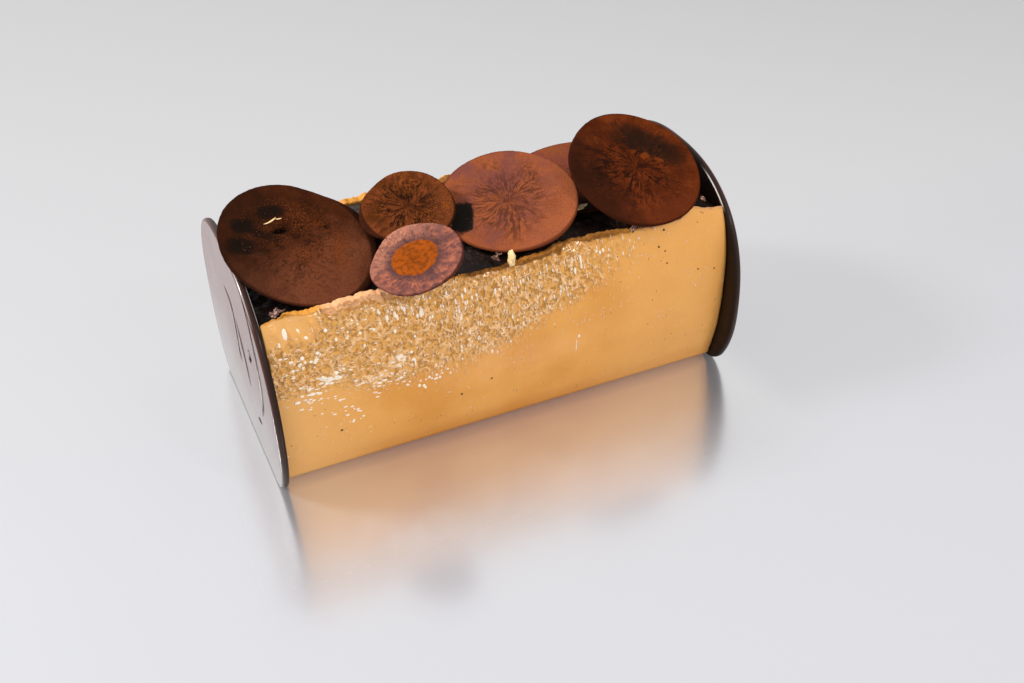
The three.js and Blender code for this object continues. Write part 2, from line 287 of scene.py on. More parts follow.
class Graph:
    """Adds nodes to one node tree, of a material or of geometry, and joins them."""

    def __init__(self, tree: bpy.types.NodeTree) -> None:
        """Takes the tree to add to."""
        self.tree = tree

    def plug(self, socket: Socket, value: Value) -> None:
        """Joins a value to an input, or sets the input's own value."""
        if isinstance(value, Wire):
            self.tree.links.new(value.socket, socket)
        else:
            socket.default_value = value

    def add(
        self, kind: str, inputs: Optional[Inputs] = None, **settings: object
    ) -> bpy.types.Node:
        """Adds one node.

        Args:
            kind: Blender's name of the node type.
            inputs: Values for the node's inputs, by name or number.
            settings: Properties of the node.

        Returns:
            The new node.
        """
        node = self.tree.nodes.new(kind)
        for key, value in settings.items():
            setattr(node, key, value)
        for key, value in (inputs or {}).items():
            if isinstance(key, int):
                self.plug(node.inputs[key], value)
            else:
                self.plug(next(s for s in node.inputs if s.name == key and s.enabled), value)
        return node

    def wire(
        self,
        kind: str,
        inputs: Optional[Inputs] = None,
        output: Optional[str] = None,
        **settings: object,
    ) -> Wire:
        """Adds one node, and gives the value of the named output or of the first one in use."""
        node = self.add(kind, inputs, **settings)
        return Wire(self, next(s for s in node.outputs if s.enabled and output in (None, s.name)))

    def math(self, operation: str, a: Value, b: Value = 0.0, c: Value = 0.0) -> Wire:
        """A sum that has no plain sign."""
        return self.wire("ShaderNodeMath", {0: a, 1: b, 2: c}, operation=operation)

    def blend(self, factor: Value, a: Value, b: Value) -> Wire:
        """A number between a and b."""
        return self.wire("ShaderNodeMix", {0: factor, 2: a, 3: b}, data_type="FLOAT")

    def tint(self, factor: Value, a: Value, b: Value) -> Wire:
        """A colour between a and b."""
        return self.wire("ShaderNodeMix", {0: factor, 6: a, 7: b}, data_type="RGBA")

    def vector(self, operation: str, a: Value, output: Optional[str] = None) -> Wire:
        """The length or the direction of a vector."""
        return self.wire("ShaderNodeVectorMath", {0: a}, output, operation=operation)

    def split(self, a: Value) -> tuple[Wire, Wire, Wire]:
        """The three parts of a vector."""
        node = self.add("ShaderNodeSeparateXYZ", {0: a})
        return Wire(self, node.outputs[0]), Wire(self, node.outputs[1]), Wire(self, node.outputs[2])

    def joined(self, x: Value, y: Value, z: Value = 0.0) -> Wire:
        """A vector of three numbers."""
        return self.wire("ShaderNodeCombineXYZ", {0: x, 1: y, 2: z})

    def rise(
        self, a: Value, low: Value, high: Value, start: Value = 0.0, end: Value = 1.0
    ) -> Wire:
        """Smooth change from start to end while a goes from low to high."""
        values = {"Value": a, "From Min": low, "From Max": high, "To Min": start, "To Max": end}
        return self.wire("ShaderNodeMapRange", values, interpolation_type="SMOOTHSTEP")

    def clouds(
        self, place: Value, scale: Value, detail: float = 2.0, roughness: float = 0.5
    ) -> Wire:
        """Soft random pattern, about 0.5 in the middle."""
        values = {"Vector": place, "Scale": scale, "Detail": detail, "Roughness": roughness}
        return self.wire("ShaderNodeTexNoise", values)

    def sway(
        self, place: Value, scale: Value, detail: float = 2.0, roughness: float = 0.5
    ) -> Wire:
        """The same soft pattern, about 0 in the middle."""
        return self.clouds(place, scale, detail, roughness) - 0.5

    def warped(self, place: Wire, scale: float, amount: float) -> Wire:
        """A place pushed about by soft random amounts."""
        values = {"Vector": place, "Scale": scale, "Detail": 1.0}
        push = self.wire("ShaderNodeTexNoise", values, "Color")
        return place + (push - (0.5, 0.5, 0.5)) * amount

    def cells(self, place: Value, scale: Value, feature: str = "F1") -> Wire:
        """Distance in a pattern of random cells."""
        return self.wire("ShaderNodeTexVoronoi", {"Vector": place, "Scale": scale}, feature=feature)

    def random(self, low: float, high: float, seed: Value) -> Wire:
        """A random number for each copy, inside a geometry tree."""
        values = {"Min": low, "Max": high, "Seed": seed}
        return self.wire("FunctionNodeRandomValue", values, data_type="FLOAT")

    def held(self, name: str, kind: str = "FLOAT") -> Wire:
        """What the vertices hold under a name, inside a geometry tree."""
        return self.wire("GeometryNodeInputNamedAttribute", {"Name": name}, data_type=kind)

    def spread(self, surface: Wire, per_square: Value, seed: Value) -> tuple[Wire, Wire]:
        """Random points on a surface.

        Args:
            surface: Mesh to spread them over.
            per_square: Points to a square millimetre.
            seed: Seed of the randomness.

        Returns:
            The points and their rotations.
        """
        density = per_square * (1 / (MM * MM))
        values = {"Mesh": surface, "Density": density, "Seed": seed}
        node = self.add("GeometryNodeDistributePointsOnFaces", values)
        return Wire(self, node.outputs["Points"]), Wire(self, node.outputs["Rotation"])

    def scattered(self, points: Wire, shape: Wire, rotation: Wire, scale: Wire) -> Wire:
        """One copy of a shape on each point."""
        values = {"Points": points, "Instance": shape, "Rotation": rotation, "Scale": scale}
        return self.wire("GeometryNodeInstanceOnPoints", values)


SOCKETS = {
    "geometry": "NodeSocketGeometry",
    "number": "NodeSocketFloat",
    "whole": "NodeSocketInt",
    "vector": "NodeSocketVector",
    "material": "NodeSocketMaterial",
}


class Group:
    """A node group with named inputs and outputs, built once."""

    def __init__(self, name: str, kind: str, inputs: Sockets, outputs: Sockets) -> None:
        """Makes the group and its sockets.

        Args:
            name: Name of the group.
            kind: "ShaderNodeTree" or "GeometryNodeTree".
            inputs: For each input, its kind of socket.
            outputs: For each output, its kind of socket.
        """
        self.tree = bpy.data.node_groups.new(name, kind)
        for direction, sockets in (("INPUT", inputs), ("OUTPUT", outputs)):
            for label, sort in sockets.items():
                self.tree.interface.new_socket(label, in_out=direction, socket_type=SOCKETS[sort])
        self.graph = Graph(self.tree)
        offered = self.graph.add("NodeGroupInput").outputs
        self.given = {s.name: Wire(self.graph, s) for s in offered if s.name}
        self.result = self.graph.add("NodeGroupOutput").inputs

    def give(self, label: str, value: Wire) -> None:
        """Joins a value to one of the group's outputs."""
        self.graph.plug(self.result[label], value)

    def used(self, graph: Graph, **inputs: Value) -> dict[str, Wire]:
        """Puts the group into a material's tree.

        Args:
            graph: The material's graph.
            inputs: Values of the group's inputs, with _ for a space in a name.

        Returns:
            The group's outputs by name.
        """
        node = graph.add("ShaderNodeGroup", node_tree=self.tree)
        for key, value in inputs.items():
            graph.plug(node.inputs[key.replace("_", " ")], value)
        return {s.name: Wire(graph, s) for s in node.outputs}


class GrowingTree(Group):
    """A geometry tree that takes a mesh and named sizes and gives a dressed mesh."""

    def __init__(self, name: str, sizes: Sockets) -> None:
        """Makes the tree with inputs for its sizes, besides the mesh and the finish."""
        inputs = {"Geometry": "geometry", **sizes, "Finish": "material"}
        super().__init__(name, "GeometryNodeTree", inputs, {"Geometry": "geometry"})

    def close(self, geometry: Wire) -> None:
        """Ends the tree: real geometry with the finish on it."""
        real = self.graph.wire("GeometryNodeRealizeInstances", {0: geometry})
        values = {"Geometry": real, "Material": self.given["Finish"]}
        self.give("Geometry", self.graph.wire("GeometryNodeSetMaterial", values))

    def grow(
        self, source: Piece, name: str, values: dict[str, Value], keep: bool = False
    ) -> Piece:
        """Runs the tree on an object and keeps the result as a plain mesh.

        Args:
            source: Object that the tree starts from.
            name: Name of the new piece.
            values: The tree's inputs by name.
            keep: Leaves the source in the scene.

        Returns:
            The new piece, without modifiers.
        """
        modifier = source.modifiers.new("grow", "NODES")
        modifier.node_group = self.tree
        for item in self.tree.interface.items_tree:
            if item.in_out == "INPUT" and item.name in values:
                modifier[item.identifier] = values[item.name]
        source.update_tag()
        bpy.context.view_layer.update()
        depsgraph = bpy.context.evaluated_depsgraph_get()
        mesh = bpy.data.meshes.new_from_object(
            source.evaluated_get(depsgraph), preserve_all_data_layers=True, depsgraph=depsgraph
        )
        source.modifiers.remove(modifier)
        if not keep:
            bpy.data.objects.remove(source)
        mesh.name = name
        return linked(name, mesh)


# ---- shared surface effects
ELSEWHERE = (31.0, 7.0, 3.0)  # moves a random pattern clear of another one


def wrinkles(graph: Graph, place: Wire, cell: float, stretch: float, thickness: Wire) -> Wire:
    """Raised ridges round the sunken cells of a wrinkled glaze, for finishes and for geometry.

    Args:
        graph: Tree to add the nodes to.
        place: Place in millimetres.
        cell: Width of a cell in millimetres.
        stretch: Squeeze of the pattern along Z, below 1 for tall cells.
        thickness: Half the width of a ridge, as a share of a cell.

    Returns:
        1 on the crest of a ridge, 0 on the floor of a cell.
    """
    pushed = graph.warped(graph.warped(place, 0.75, 1.7), 0.2, 4.0) * (1.0, 1.0, stretch)
    distance = graph.cells(pushed, 1 / cell, "DISTANCE_TO_EDGE")
    return graph.rise(distance, 0.0, thickness, 1.0, 0.0)


def glaze_relief(graph: Graph, place: Wire, crackle: Wire, broad: Wire) -> tuple[Wire, Wire]:
    """Relief of the glaze: a net of ridges that breaks up into short dashes where it fades.

    Args:
        graph: Tree to add the nodes to.
        place: Place in millimetres.
        crackle: How wrinkled the glaze is there.
        broad: 1 where its cells are broad, 0 where they are small.

    Returns:
        Height of the ridges from 0 to 1, and how much of the place is wrinkled.
    """
    broken = crackle + graph.sway(place * (1.0, 1.0, 0.6), 0.5) * 0.8
    present = graph.rise(broken, 0.22, 0.88)
    uneven = graph.clouds(place, 0.55)
    fine = graph.rise(uneven, 0.3, 0.7, 0.12, 0.24)
    coarse = graph.rise(uneven, 0.3, 0.7, 0.07, 0.16)
    small = wrinkles(graph, place, cell=2.0, stretch=0.5, thickness=fine)
    large = wrinkles(graph, place + ELSEWHERE, cell=3.3, stretch=0.85, thickness=coarse)
    net = graph.blend(broad, small, graph.math("MAXIMUM", large, small * 0.5))
    strong = graph.rise(graph.clouds(place, 0.5), 0.35, 0.6, 0.3, 1.0)
    return net * strong * present, present


def dashes(graph: Graph, place: Wire, broad: Wire) -> Wire:
    """Short flecks of glaze, level where its cells are broad and upright where they are small."""
    level = graph.cells(place * (0.55, 0.55, 1.5) + (5.0, 0.0, 9.0), 0.62)
    upright = graph.cells(place * (1.5, 1.5, 0.6), 0.62)
    some = graph.rise(graph.clouds(place, 0.45), 0.42, 0.58)
    return graph.rise(graph.blend(broad, upright, level), 0.36, 0.2) * some


class SurfaceEffects:
    """Shader groups that more than one finish uses."""

    def __init__(self) -> None:
        """Builds each group once."""
        self.glaze = self._glaze()
        self.strokes = self._strokes()
        self.cocoa = self._cocoa()
        self.handling = self._handling()

    @staticmethod
    def _glaze() -> Group:
        """The glaze's relief, for its colour and fine bump."""
        inputs = {"Place": "vector", "Crackle": "number", "Broad": "number"}
        outputs = {"Ridge": "number", "Wrinkled": "number", "Dashes": "number"}
        group = Group("glaze_relief", "ShaderNodeTree", inputs, outputs)
        given = group.given
        ridge, present = glaze_relief(group.graph, given["Place"], given["Crackle"], given["Broad"])
        group.give("Ridge", ridge)
        group.give("Wrinkled", present)
        fading = group.graph.rise(given["Crackle"], 0.0, 0.4)
        group.give("Dashes", dashes(group.graph, given["Place"], given["Broad"]) * fading)
        return group

    @staticmethod
    def _strokes() -> Group:
        """Short broken strokes that point away from the middle of a disc."""
        inputs = {"Place": "vector"}
        inputs |= dict.fromkeys(("Count", "Shortness", "Low", "High"), "number")
        group = Group("strokes", "ShaderNodeTree", inputs, {"Strokes": "number"})
        graph, given = group.graph, group.given
        x, y, seed = graph.split(graph.warped(given["Place"], 0.16, 2.6))
        flat = graph.joined(x, y)
        radius = graph.vector("LENGTH", flat, "Value")
        around = graph.vector("NORMALIZE", flat) * given["Count"]
        place = around + graph.joined(seed, 0.0, radius * given["Shortness"])
        pattern = graph.clouds(place, 1.0, 3.0, 0.6)
        group.give("Strokes", graph.rise(pattern, given["Low"], given["High"]))
        return group

    @staticmethod
    def _cocoa() -> Group:
        """Fine uneven specks, as of dry cocoa or a torn surface."""
        inputs = {"Place": "vector", "Grain": "number", "Cover": "number", "Patch": "number"}
        group = Group("cocoa", "ShaderNodeTree", inputs, {"Specks": "number", "Height": "number"})
        graph, given = group.graph, group.given
        fine = graph.clouds(given["Place"], 1.0 / given["Grain"], 3.0, 0.7)
        level = fine + graph.sway(given["Place"], 1.0 / given["Patch"]) * 0.5
        threshold = 0.78 - given["Cover"] * 0.36
        group.give("Specks", graph.rise(level, threshold, threshold + 0.09))
        group.give("Height", fine)
        return group

    @staticmethod
    def _handling() -> Group:
        """Cloudy change of gloss, as fingers and cold air leave."""
        inputs = {"Place": "vector", "Size": "number", "Low": "number", "High": "number"}
        group = Group("handling", "ShaderNodeTree", inputs, {"Roughness": "number"})
        graph, given = group.graph, group.given
        pattern = graph.clouds(given["Place"], 1.0 / given["Size"], 4.0, 0.6)
        group.give("Roughness", graph.rise(pattern, 0.3, 0.7, given["Low"], given["High"]))
        return group


# ---- finishes
def new_material(name: str) -> tuple[Material, Graph]:
    """Makes an empty material, and the graph to build it with."""
    material = bpy.data.materials.new(name)
    material.use_nodes = True
    material.node_tree.nodes.clear()
    return material, Graph(material.node_tree)


class Dressing:
    """A new material with its Principled shader, object place and bump at hand."""

    def __init__(self, name: str, **fixed: Value) -> None:
        """Makes the material and its shader.

        Args:
            name: Name of the material.
            fixed: Constant values of the shader's own sockets, with _ for a space in a name.
        """
        self.material, self.graph = new_material(name)
        self.shader = self.graph.add("ShaderNodeBsdfPrincipled")
        surface = Wire(self.graph, self.shader.outputs[0])
        self.graph.add("ShaderNodeOutputMaterial", {"Surface": surface})
        self.place = self.graph.wire("ShaderNodeTexCoord", output="Object") * (1 / MM)
        for key, value in fixed.items():
            self.shader.inputs[key.replace("_", " ")].default_value = value

    def drive(self, label: str, value: Wire) -> None:
        """Joins a changing value to one of the shader's sockets."""
        self.graph.plug(self.shader.inputs[label], value)

    def held(self, name: str, output: str = "Fac") -> Wire:
        """What the piece's vertices hold under a name."""
        return self.graph.wire("ShaderNodeAttribute", output=output, attribute_name=name)

    def bump(self, height: Wire, depth: float) -> None:
        """Turns a height from 0 to 1 into relief of a depth in millimetres."""
        values = {"Height": height, "Distance": depth * MM}
        self.drive("Normal", self.graph.wire("ShaderNodeBump", values))


class Layers:
    """A colour built up in layers, each over the ones before it."""

    def __init__(self, graph: Graph, colour: Wire) -> None:
        """Starts with the lowest colour."""
        self.graph, self.colour = graph, colour

    def over(self, mask: Wire, colour: Union[str, Wire]) -> None:
        """Adds a screen colour or a changing one, as far as its mask lets it show."""
        top = tone(colour) if isinstance(colour, str) else colour
        self.colour = self.graph.tint(mask, self.colour, top)


@dataclass(frozen=True)
class CaramelFinish:
    """Glossy caramel glaze, wrinkled where the vertices' crackle says so."""

    smooth: str = "e3a04c"
    clear: str = "e9ae66"
    deep: str = "d8923c"
    # Darker orange: painted shade near the foot, and also the lip and mottles of the torn rim.
    foot: str = "c67c1e"
    hollow: str = "dfa04c"
    olive: str = "b07828"
    # Pale ridge colour: partly the glaze's own, partly painted highlight.
    crest: str = "f8c080"
    # Near-white of beads and drips: painted glint.
    bead: str = "fff0dc"
    cream: str = "e2a878"
    gold: str = "cf8c34"
    # Dark amber: painted shade on the torn rim under the discs.
    shaded_amber: str = "7c4a08"
    pore: str = "7a4616"

    def _skin(self, graph: Graph, place: Wire, crackle: Wire, glaze: dict[str, Wire]) -> Layers:
        """Colour of the glaze's skin before its pores: painted shade near the foot, ridges and
        flecks partly painted highlight.
        """
        along, _, height = graph.split(place)
        drift = graph.rise(graph.clouds(place, 0.05, 3.0), 0.35, 0.7)
        skin = Layers(graph, graph.tint(drift, tone(self.smooth), tone(self.deep)))
        # Darker towards the foot, more so to the right: painted shade where the wall curves under.
        towards_right = graph.rise(along, -70.0, -25.0, 0.25, 1.0)
        skin.over(graph.rise(height, 11.0, 0.0) * towards_right, self.foot)
        left = graph.rise(along, -36.0, -74.0, 0.0, 0.8)
        right = graph.rise(along, 15.0, 55.0, 0.0, 0.4)
        skin.over(left + right, self.clear)
        depth = graph.rise(graph.clouds(place, 0.8, 3.0), 0.45, 0.6)
        strength = graph.rise(crackle, 0.25, 0.85, 0.4, 1.0)
        floor = graph.tint(depth, tone(self.hollow), tone(self.olive))
        skin.over(glaze["Wrinkled"] * 0.95 * strength, floor)
        # Paler ridges and flecks: partly the glaze's own colour, partly painted highlight.
        skin.over(graph.rise(glaze["Ridge"], 0.15, 0.7) * strength, self.crest)
        skin.over(glaze["Dashes"] * 0.6, self.crest)
        return skin

    def _cut(self, dressing: Dressing, place: Wire) -> Layers:
        """Colour of the glaze where its rim is torn open; its dark amber is painted shade under the
        discs.
        """
        graph = dressing.graph
        cut = Layers(graph, graph.tint(dressing.held("shaded_amber"), tone(self.gold), tone(self.shaded_amber)))
        cut.over(dressing.held("pale"), self.cream)
        cut.over(graph.rise(graph.clouds(place, 0.7, 3.0), 0.4, 0.7, 0.0, 0.35), self.foot)
        return cut

    def dress(self, effects: SurfaceEffects) -> Material:
        """Builds the material."""
        dressing = Dressing(
            "caramel_glaze",
            IOR=1.45,
            Specular_IOR_Level=0.3,
            Coat_Roughness=0.1,
            Coat_IOR=1.6,
            Subsurface_Weight=0.08,
            Subsurface_Scale=0.0012,
            Subsurface_Radius=(1.0, 0.5, 0.2),
        )
        graph = dressing.graph
        place, crackle = dressing.held("glaze_place", "Vector"), dressing.held("crackle")
        bead, rim = dressing.held("bead"), dressing.held("rim")
        broad = dressing.held("broad")
        glaze = effects.glaze.used(graph, Place=place, Crackle=crackle, Broad=broad)
        ridge, wrinkled = glaze["Ridge"], glaze["Wrinkled"]

        skin = self._skin(graph, place, crackle, glaze)
        some = graph.rise(graph.clouds(place, 0.14, 1.0), 0.5, 0.6) * graph.rise(wrinkled, 0.5, 0.1)
        pores = graph.rise(graph.cells(place, 0.42), 0.12, 0.07) * some
        lit_side = graph.cells(place + (-0.42, 0.0, 0.34), 0.42)
        skin.over(graph.rise(lit_side, 0.14, 0.06) * some * 0.6, self.crest)
        skin.over(pores * 0.6, self.pore)
        skin.over(dressing.held("lip"), self.foot)
        # Beads turn near white as painted glints.
        skin.over(bead, self.bead)
        skin.over(rim, self._cut(dressing, place).colour)
        dressing.drive("Base Color", skin.colour)

        shine = graph.math("MAXIMUM", wrinkled * graph.rise(ridge, 0.1, 0.7, 0.25, 1.0), bead)
        gloss = effects.handling.used(graph, Place=place, Size=9.0, Low=0.4, High=0.5)["Roughness"]
        dressing.drive("Roughness", graph.blend(rim, graph.blend(shine, gloss, 0.28), 0.6))
        dressing.drive("Coat Weight", graph.blend(shine, 0.06, 1.0) * (1.0 - rim))
        pimples = graph.rise(graph.cells(place, 0.7), 0.45, 0.0)
        grit = graph.clouds(place, 2.6, 3.0) * rim
        relief = ridge + glaze["Dashes"] * 0.5 + pimples * pimples * 0.2 - pores + grit
        dressing.bump(relief, 0.4)
        return dressing.material


@dataclass(frozen=True)
class GlossFinish:
    """Tempered dark chocolate for the end plates: polished outside, dull inside; outer face paler,
    partly as painted reflection.
    """

    body: str = "1e100a"
    face: str = "562619"
    # Greyish lower outer face: painted reflection of the table.
    low: str = "6c5e5a"
    groove: str = "1c0a07"
    glint: str = "e4dcd4"

    def dress(self, effects: SurfaceEffects) -> Material:
        """Builds the material."""
        dressing = Dressing(
            "gloss_chocolate", IOR=1.5, Specular_IOR_Level=0.16, Coat_IOR=1.85, Coat_Roughness=0.14
        )
        graph, place = dressing.graph, dressing.place
        polish = dressing.held("polish")
        height = graph.split(place)[2] + graph.clouds(place, 0.07, 3.0) * 16.0
        upper = graph.rise(height, 12.0, 52.0)
        groove = graph.rise(dressing.held("groove"), 0.0, 0.15)
        # Outer face paler than the body, partly its own tone and partly painted reflection, greyer
        # lower down.
        face = graph.tint(upper, tone(self.low), tone(self.face))
        colour = Layers(graph, graph.tint(polish, tone(self.body), face))
        colour.over(groove, self.groove)
        colour.over(dressing.held("glint"), self.glint)
        dressing.drive("Base Color", colour.colour)
        gloss = effects.handling.used(graph, Place=place, Size=16.0, Low=0.35, High=0.55)
        dressing.drive("Roughness", gloss["Roughness"])
        facing = graph.wire("ShaderNodeLayerWeight", {"Blend": 0.5}, "Facing")
        layer = polish * graph.rise(facing, 0.2, 0.8, 0.6, 1.0) * graph.blend(upper, 1.0, 0.8)
        dressing.drive("Coat Weight", layer * (1.0 - groove))
        dressing.bump(graph.clouds(place, 0.12), 0.2)
        return dressing.material


@dataclass(frozen=True)
class FillingFinish:
    """Soft dark chocolate filling, moist and uneven."""

    body: str = "1d110b"
    crest: str = "3f2314"

    def dress(self, effects: SurfaceEffects) -> Material:
        """Builds the material."""
        dressing = Dressing("dark_filling", IOR=1.5, Specular_IOR_Level=0.22)
        graph, place = dressing.graph, dressing.place
        cocoa = effects.cocoa.used(graph, Place=place, Grain=1.4, Cover=0.5, Patch=8.0)
        dressing.drive("Base Color", graph.tint(cocoa["Specks"], tone(self.body), tone(self.crest)))
        gloss = effects.handling.used(graph, Place=place, Size=5.0, Low=0.32, High=0.6)
        dressing.drive("Roughness", gloss["Roughness"])
        dressing.bump(cocoa["Height"], 0.5)
        return dressing.material


@dataclass(frozen=True)
class StainOrShadow:
    """A stain or a painted shadow on a disc: middle, half-width, half-length, turn in degrees, and
    strength.
    """

    x: float
    y: float
    wide: float
    long: float
    turn: float
    colour: str
    amount: float = 1.0
    softness: float = 0.2

    def mask(self, graph: Graph, x: Wire, y: Wire, ragged: Wire) -> Wire:
        """How stained each place on the disc is."""
        across, along = turned(x - self.x, y - self.y, self.turn)
        across, along = across / self.wide, along / self.long
        wide, long = across * across, along * along
        squared = graph.math("MAXIMUM", wide, long) * 0.5 + (wide + long) * 0.42
        return graph.rise(squared + ragged, 1.0 + self.softness, 1.0 - self.softness) * self.amount


@dataclass(frozen=True)
class DiscFinish:
    """Matte chocolate disc with strokes and specks round its middle.

    Directions are X and Y in the disc's own plane, and reaches are shares of its radius.
    """

    name: str
    base: str
    shade: str
    bright: str
    dark: str
    vein: str
    speck: str
    edge: str
    radius: float
    bright_towards: tuple[float, float] = (0.3, -1.0)
    bright_amount: float = 0.5
    bright_from: float = -0.1
    bright_to: float = 0.9
    dark_towards: tuple[float, float] = (-1.0, 0.3)
    dark_amount: float = 0.0
    dark_from: float = 0.1
    dark_to: float = 0.75
    stroke_count: float = 13.0
    stroke_shortness: float = 0.3
    stroke_reach: float = 0.85
    stroke_amount: float = 0.7
    blot_amount: float = 0.4
    speck_cover: float = 0.4
    speck_amount: float = 0.5
    speck_reach: float = 1.3
    speck_towards: tuple[float, float] = (0.0, 0.0)
    patch: float = 0.13
    spot: Optional[str] = None
    spot_radius: float = 0.0
    stains_and_shadows: tuple[StainOrShadow, ...] = ()
    dent_shade: str = "080404"

    def _towards(
        self, graph: Graph, place: Wire, way: tuple[float, float], low: float, high: float
    ) -> Wire:
        """Mask that rises towards one side of the disc."""
        x, y, _ = graph.split(place)
        side = x * (way[0] / self.radius) + y * (way[1] / self.radius)
        return graph.rise(side + graph.sway(graph.joined(x, y), 0.16, 3.0) * 0.9, low, high)

    def _ground(self, graph: Graph, place: Wire, soft: Wire) -> Layers:
        """Broad lighter and darker sides; the left dark disc's lighter lower side is painted light.
        """
        colour = Layers(graph, graph.tint(soft, tone(self.base), tone(self.shade)))
        # Lighter towards one side; on the left dark disc this is painted light.
        bright = self._towards(graph, place, self.bright_towards, self.bright_from, self.bright_to)
        colour.over(bright * self.bright_amount, self.bright)
        # Darker towards one side; on the back disc this is painted shade.
        dark = self._towards(graph, place, self.dark_towards, self.dark_from, self.dark_to)
        colour.over(dark * self.dark_amount, self.dark)
        return colour

    def _veins(self, graph: Graph, place: Wire, centre: Wire, effects: SurfaceEffects) -> Wire:
        """Thick and thin strokes round the middle."""
        count, shortness = self.stroke_count, self.stroke_shortness
        lines = effects.strokes
        thick = lines.used(graph, Place=place, Count=count, Shortness=shortness, Low=0.5, High=0.6)
        thin = lines.used(graph, Place=place, Count=count * 2.3, Shortness=0.6, Low=0.5, High=0.62)
        strokes = graph.math("MAXIMUM", thick["Strokes"], thin["Strokes"] * 0.7)
        return strokes * centre * self.stroke_amount

    def _add_spot(self, graph: Graph, colour: Layers, place: Wire, reach: Wire) -> None:
        """A spot of another colour on the middle, inside a dark ring."""
        edge = reach + graph.sway(place, 0.18) * 2.2
        ring = graph.rise(edge, self.spot_radius + 3.2, self.spot_radius + 0.4)
        colour.over(ring * 0.75, self.vein)
        mottled = graph.rise(graph.clouds(place, 0.6, 4.0), 0.42, 0.6)
        inside = graph.rise(edge, self.spot_radius + 0.2, self.spot_radius - 0.2)
        colour.over(inside, graph.tint(mottled, tone(self.spot), tone(self.speck)))

    def dress(self, effects: SurfaceEffects) -> Material:
        """Builds the material."""
        dressing = Dressing(self.name, IOR=1.45, Specular_IOR_Level=0.01)
        graph = dressing.graph
        place = dressing.held("disc_place", "Vector")
        x, y, _ = graph.split(place)
        reach = graph.vector("LENGTH", graph.joined(x, y), "Value")
        share = reach / self.radius
        soft = graph.rise(graph.clouds(place, self.patch, 4.0), 0.36, 0.64)
        uneven_share = share + (soft - 0.5) * 0.3
        centre = graph.rise(uneven_share, self.stroke_reach, self.stroke_reach * 0.35)

        colour = self._ground(graph, place, soft)
        veins = self._veins(graph, place, centre, effects)
        colour.over(veins, self.vein)
        blots = graph.rise(graph.clouds(place, 0.42, 4.0, 0.7), 0.52, 0.6)
        colour.over(blots * centre * self.blot_amount, self.dark)
        if self.spot:
            self._add_spot(graph, colour, place, reach)

        values = {"Place": place, "Grain": 0.55, "Cover": self.speck_cover, "Patch": 9.0}
        cocoa = effects.cocoa.used(graph, **values)
        specks = cocoa["Specks"] * graph.rise(share, self.speck_reach, self.speck_reach * 0.6)
        if self.speck_towards != (0.0, 0.0):
            specks = specks * self._towards(graph, place, self.speck_towards, -0.7, 0.2)
        colour.over(specks * self.speck_amount, self.speck)
        grain = graph.clouds(place, 1.5, 3.0, 0.7)
        colour.over(graph.rise(grain, 0.5, 0.75, 0.0, 0.55), self.dark)
        ragged = graph.sway(place, 0.35, 3.0) * 1.1
        # Dark stains, and painted shadows where a disc above shades this one.
        for stain_or_shadow in self.stains_and_shadows:
            colour.over(stain_or_shadow.mask(graph, x, y, ragged), stain_or_shadow.colour)
        colour.over(graph.rise(share, 0.955, 1.0, 0.0, 0.85), self.edge)
        # Painted shade darkens the dents nearly to black.
        colour.over(dressing.held("dent"), self.dent_shade)
        dressing.drive("Base Color", colour.colour)

        gloss = effects.handling.used(graph, Place=place, Size=7.0, Low=0.55, High=0.75)
        dressing.drive("Roughness", gloss["Roughness"])
        dressing.bump(cocoa["Height"] - veins * 0.4, 0.35)
        return dressing.material


@dataclass(frozen=True)
class CrumbFinish:
    """Broken chocolate or glaze, for flakes, crumbs and grains."""

    name: str
    body: str
    edge: str
    roughness: float = 0.45

    def dress(self, effects: SurfaceEffects) -> Material:
        """Builds the material."""
        dressing = Dressing(self.name, Roughness=self.roughness, IOR=1.48)
        graph, place = dressing.graph, dressing.place
        cocoa = effects.cocoa.used(graph, Place=place, Grain=0.6, Cover=0.6, Patch=2.0)
        dressing.drive("Base Color", graph.tint(cocoa["Specks"], tone(self.body), tone(self.edge)))
        dressing.bump(cocoa["Height"], 0.3)
        return dressing.material


# ---- the log
class Side(Enum):
    """Which long side of the log, as the sign of its Y."""

    NEAR = -1
    FAR = 1


# Places along the near rim and its height there.
NEAR_RIM = (
    (-77.0, 61.2), (-72.0, 62.1), (-62.0, 61.5), (-45.0, 62.2), (-34.0, 61.5), (-14.0, 61.1),
    (6.0, 60.7), (13.0, 61.2), (19.0, 62.5), (33.0, 62.3), (46.0, 61.2), (61.0, 61.1),
    (65.5, 63.9), (70.0, 62.5), (77.0, 61.7),
)
LEVEL_RIM_LEFT = Stretch(-72, -68, -36, -32)
LEVEL_RIM_RIGHT = Stretch(-2, 4, 48, 54)
CALM_RIM = Stretch(-62, -57, -36, -32)
CREAM_RIM = Stretch(-60, -56, -34.5, -32)
PALE_RIM = Stretch(-61, -56, -33.5, -31)
# Where the torn near rim is painted dark amber, as painted shade under the discs.
SHADED_AMBER_RIM = Stretch(-17, -13, 36, 46)


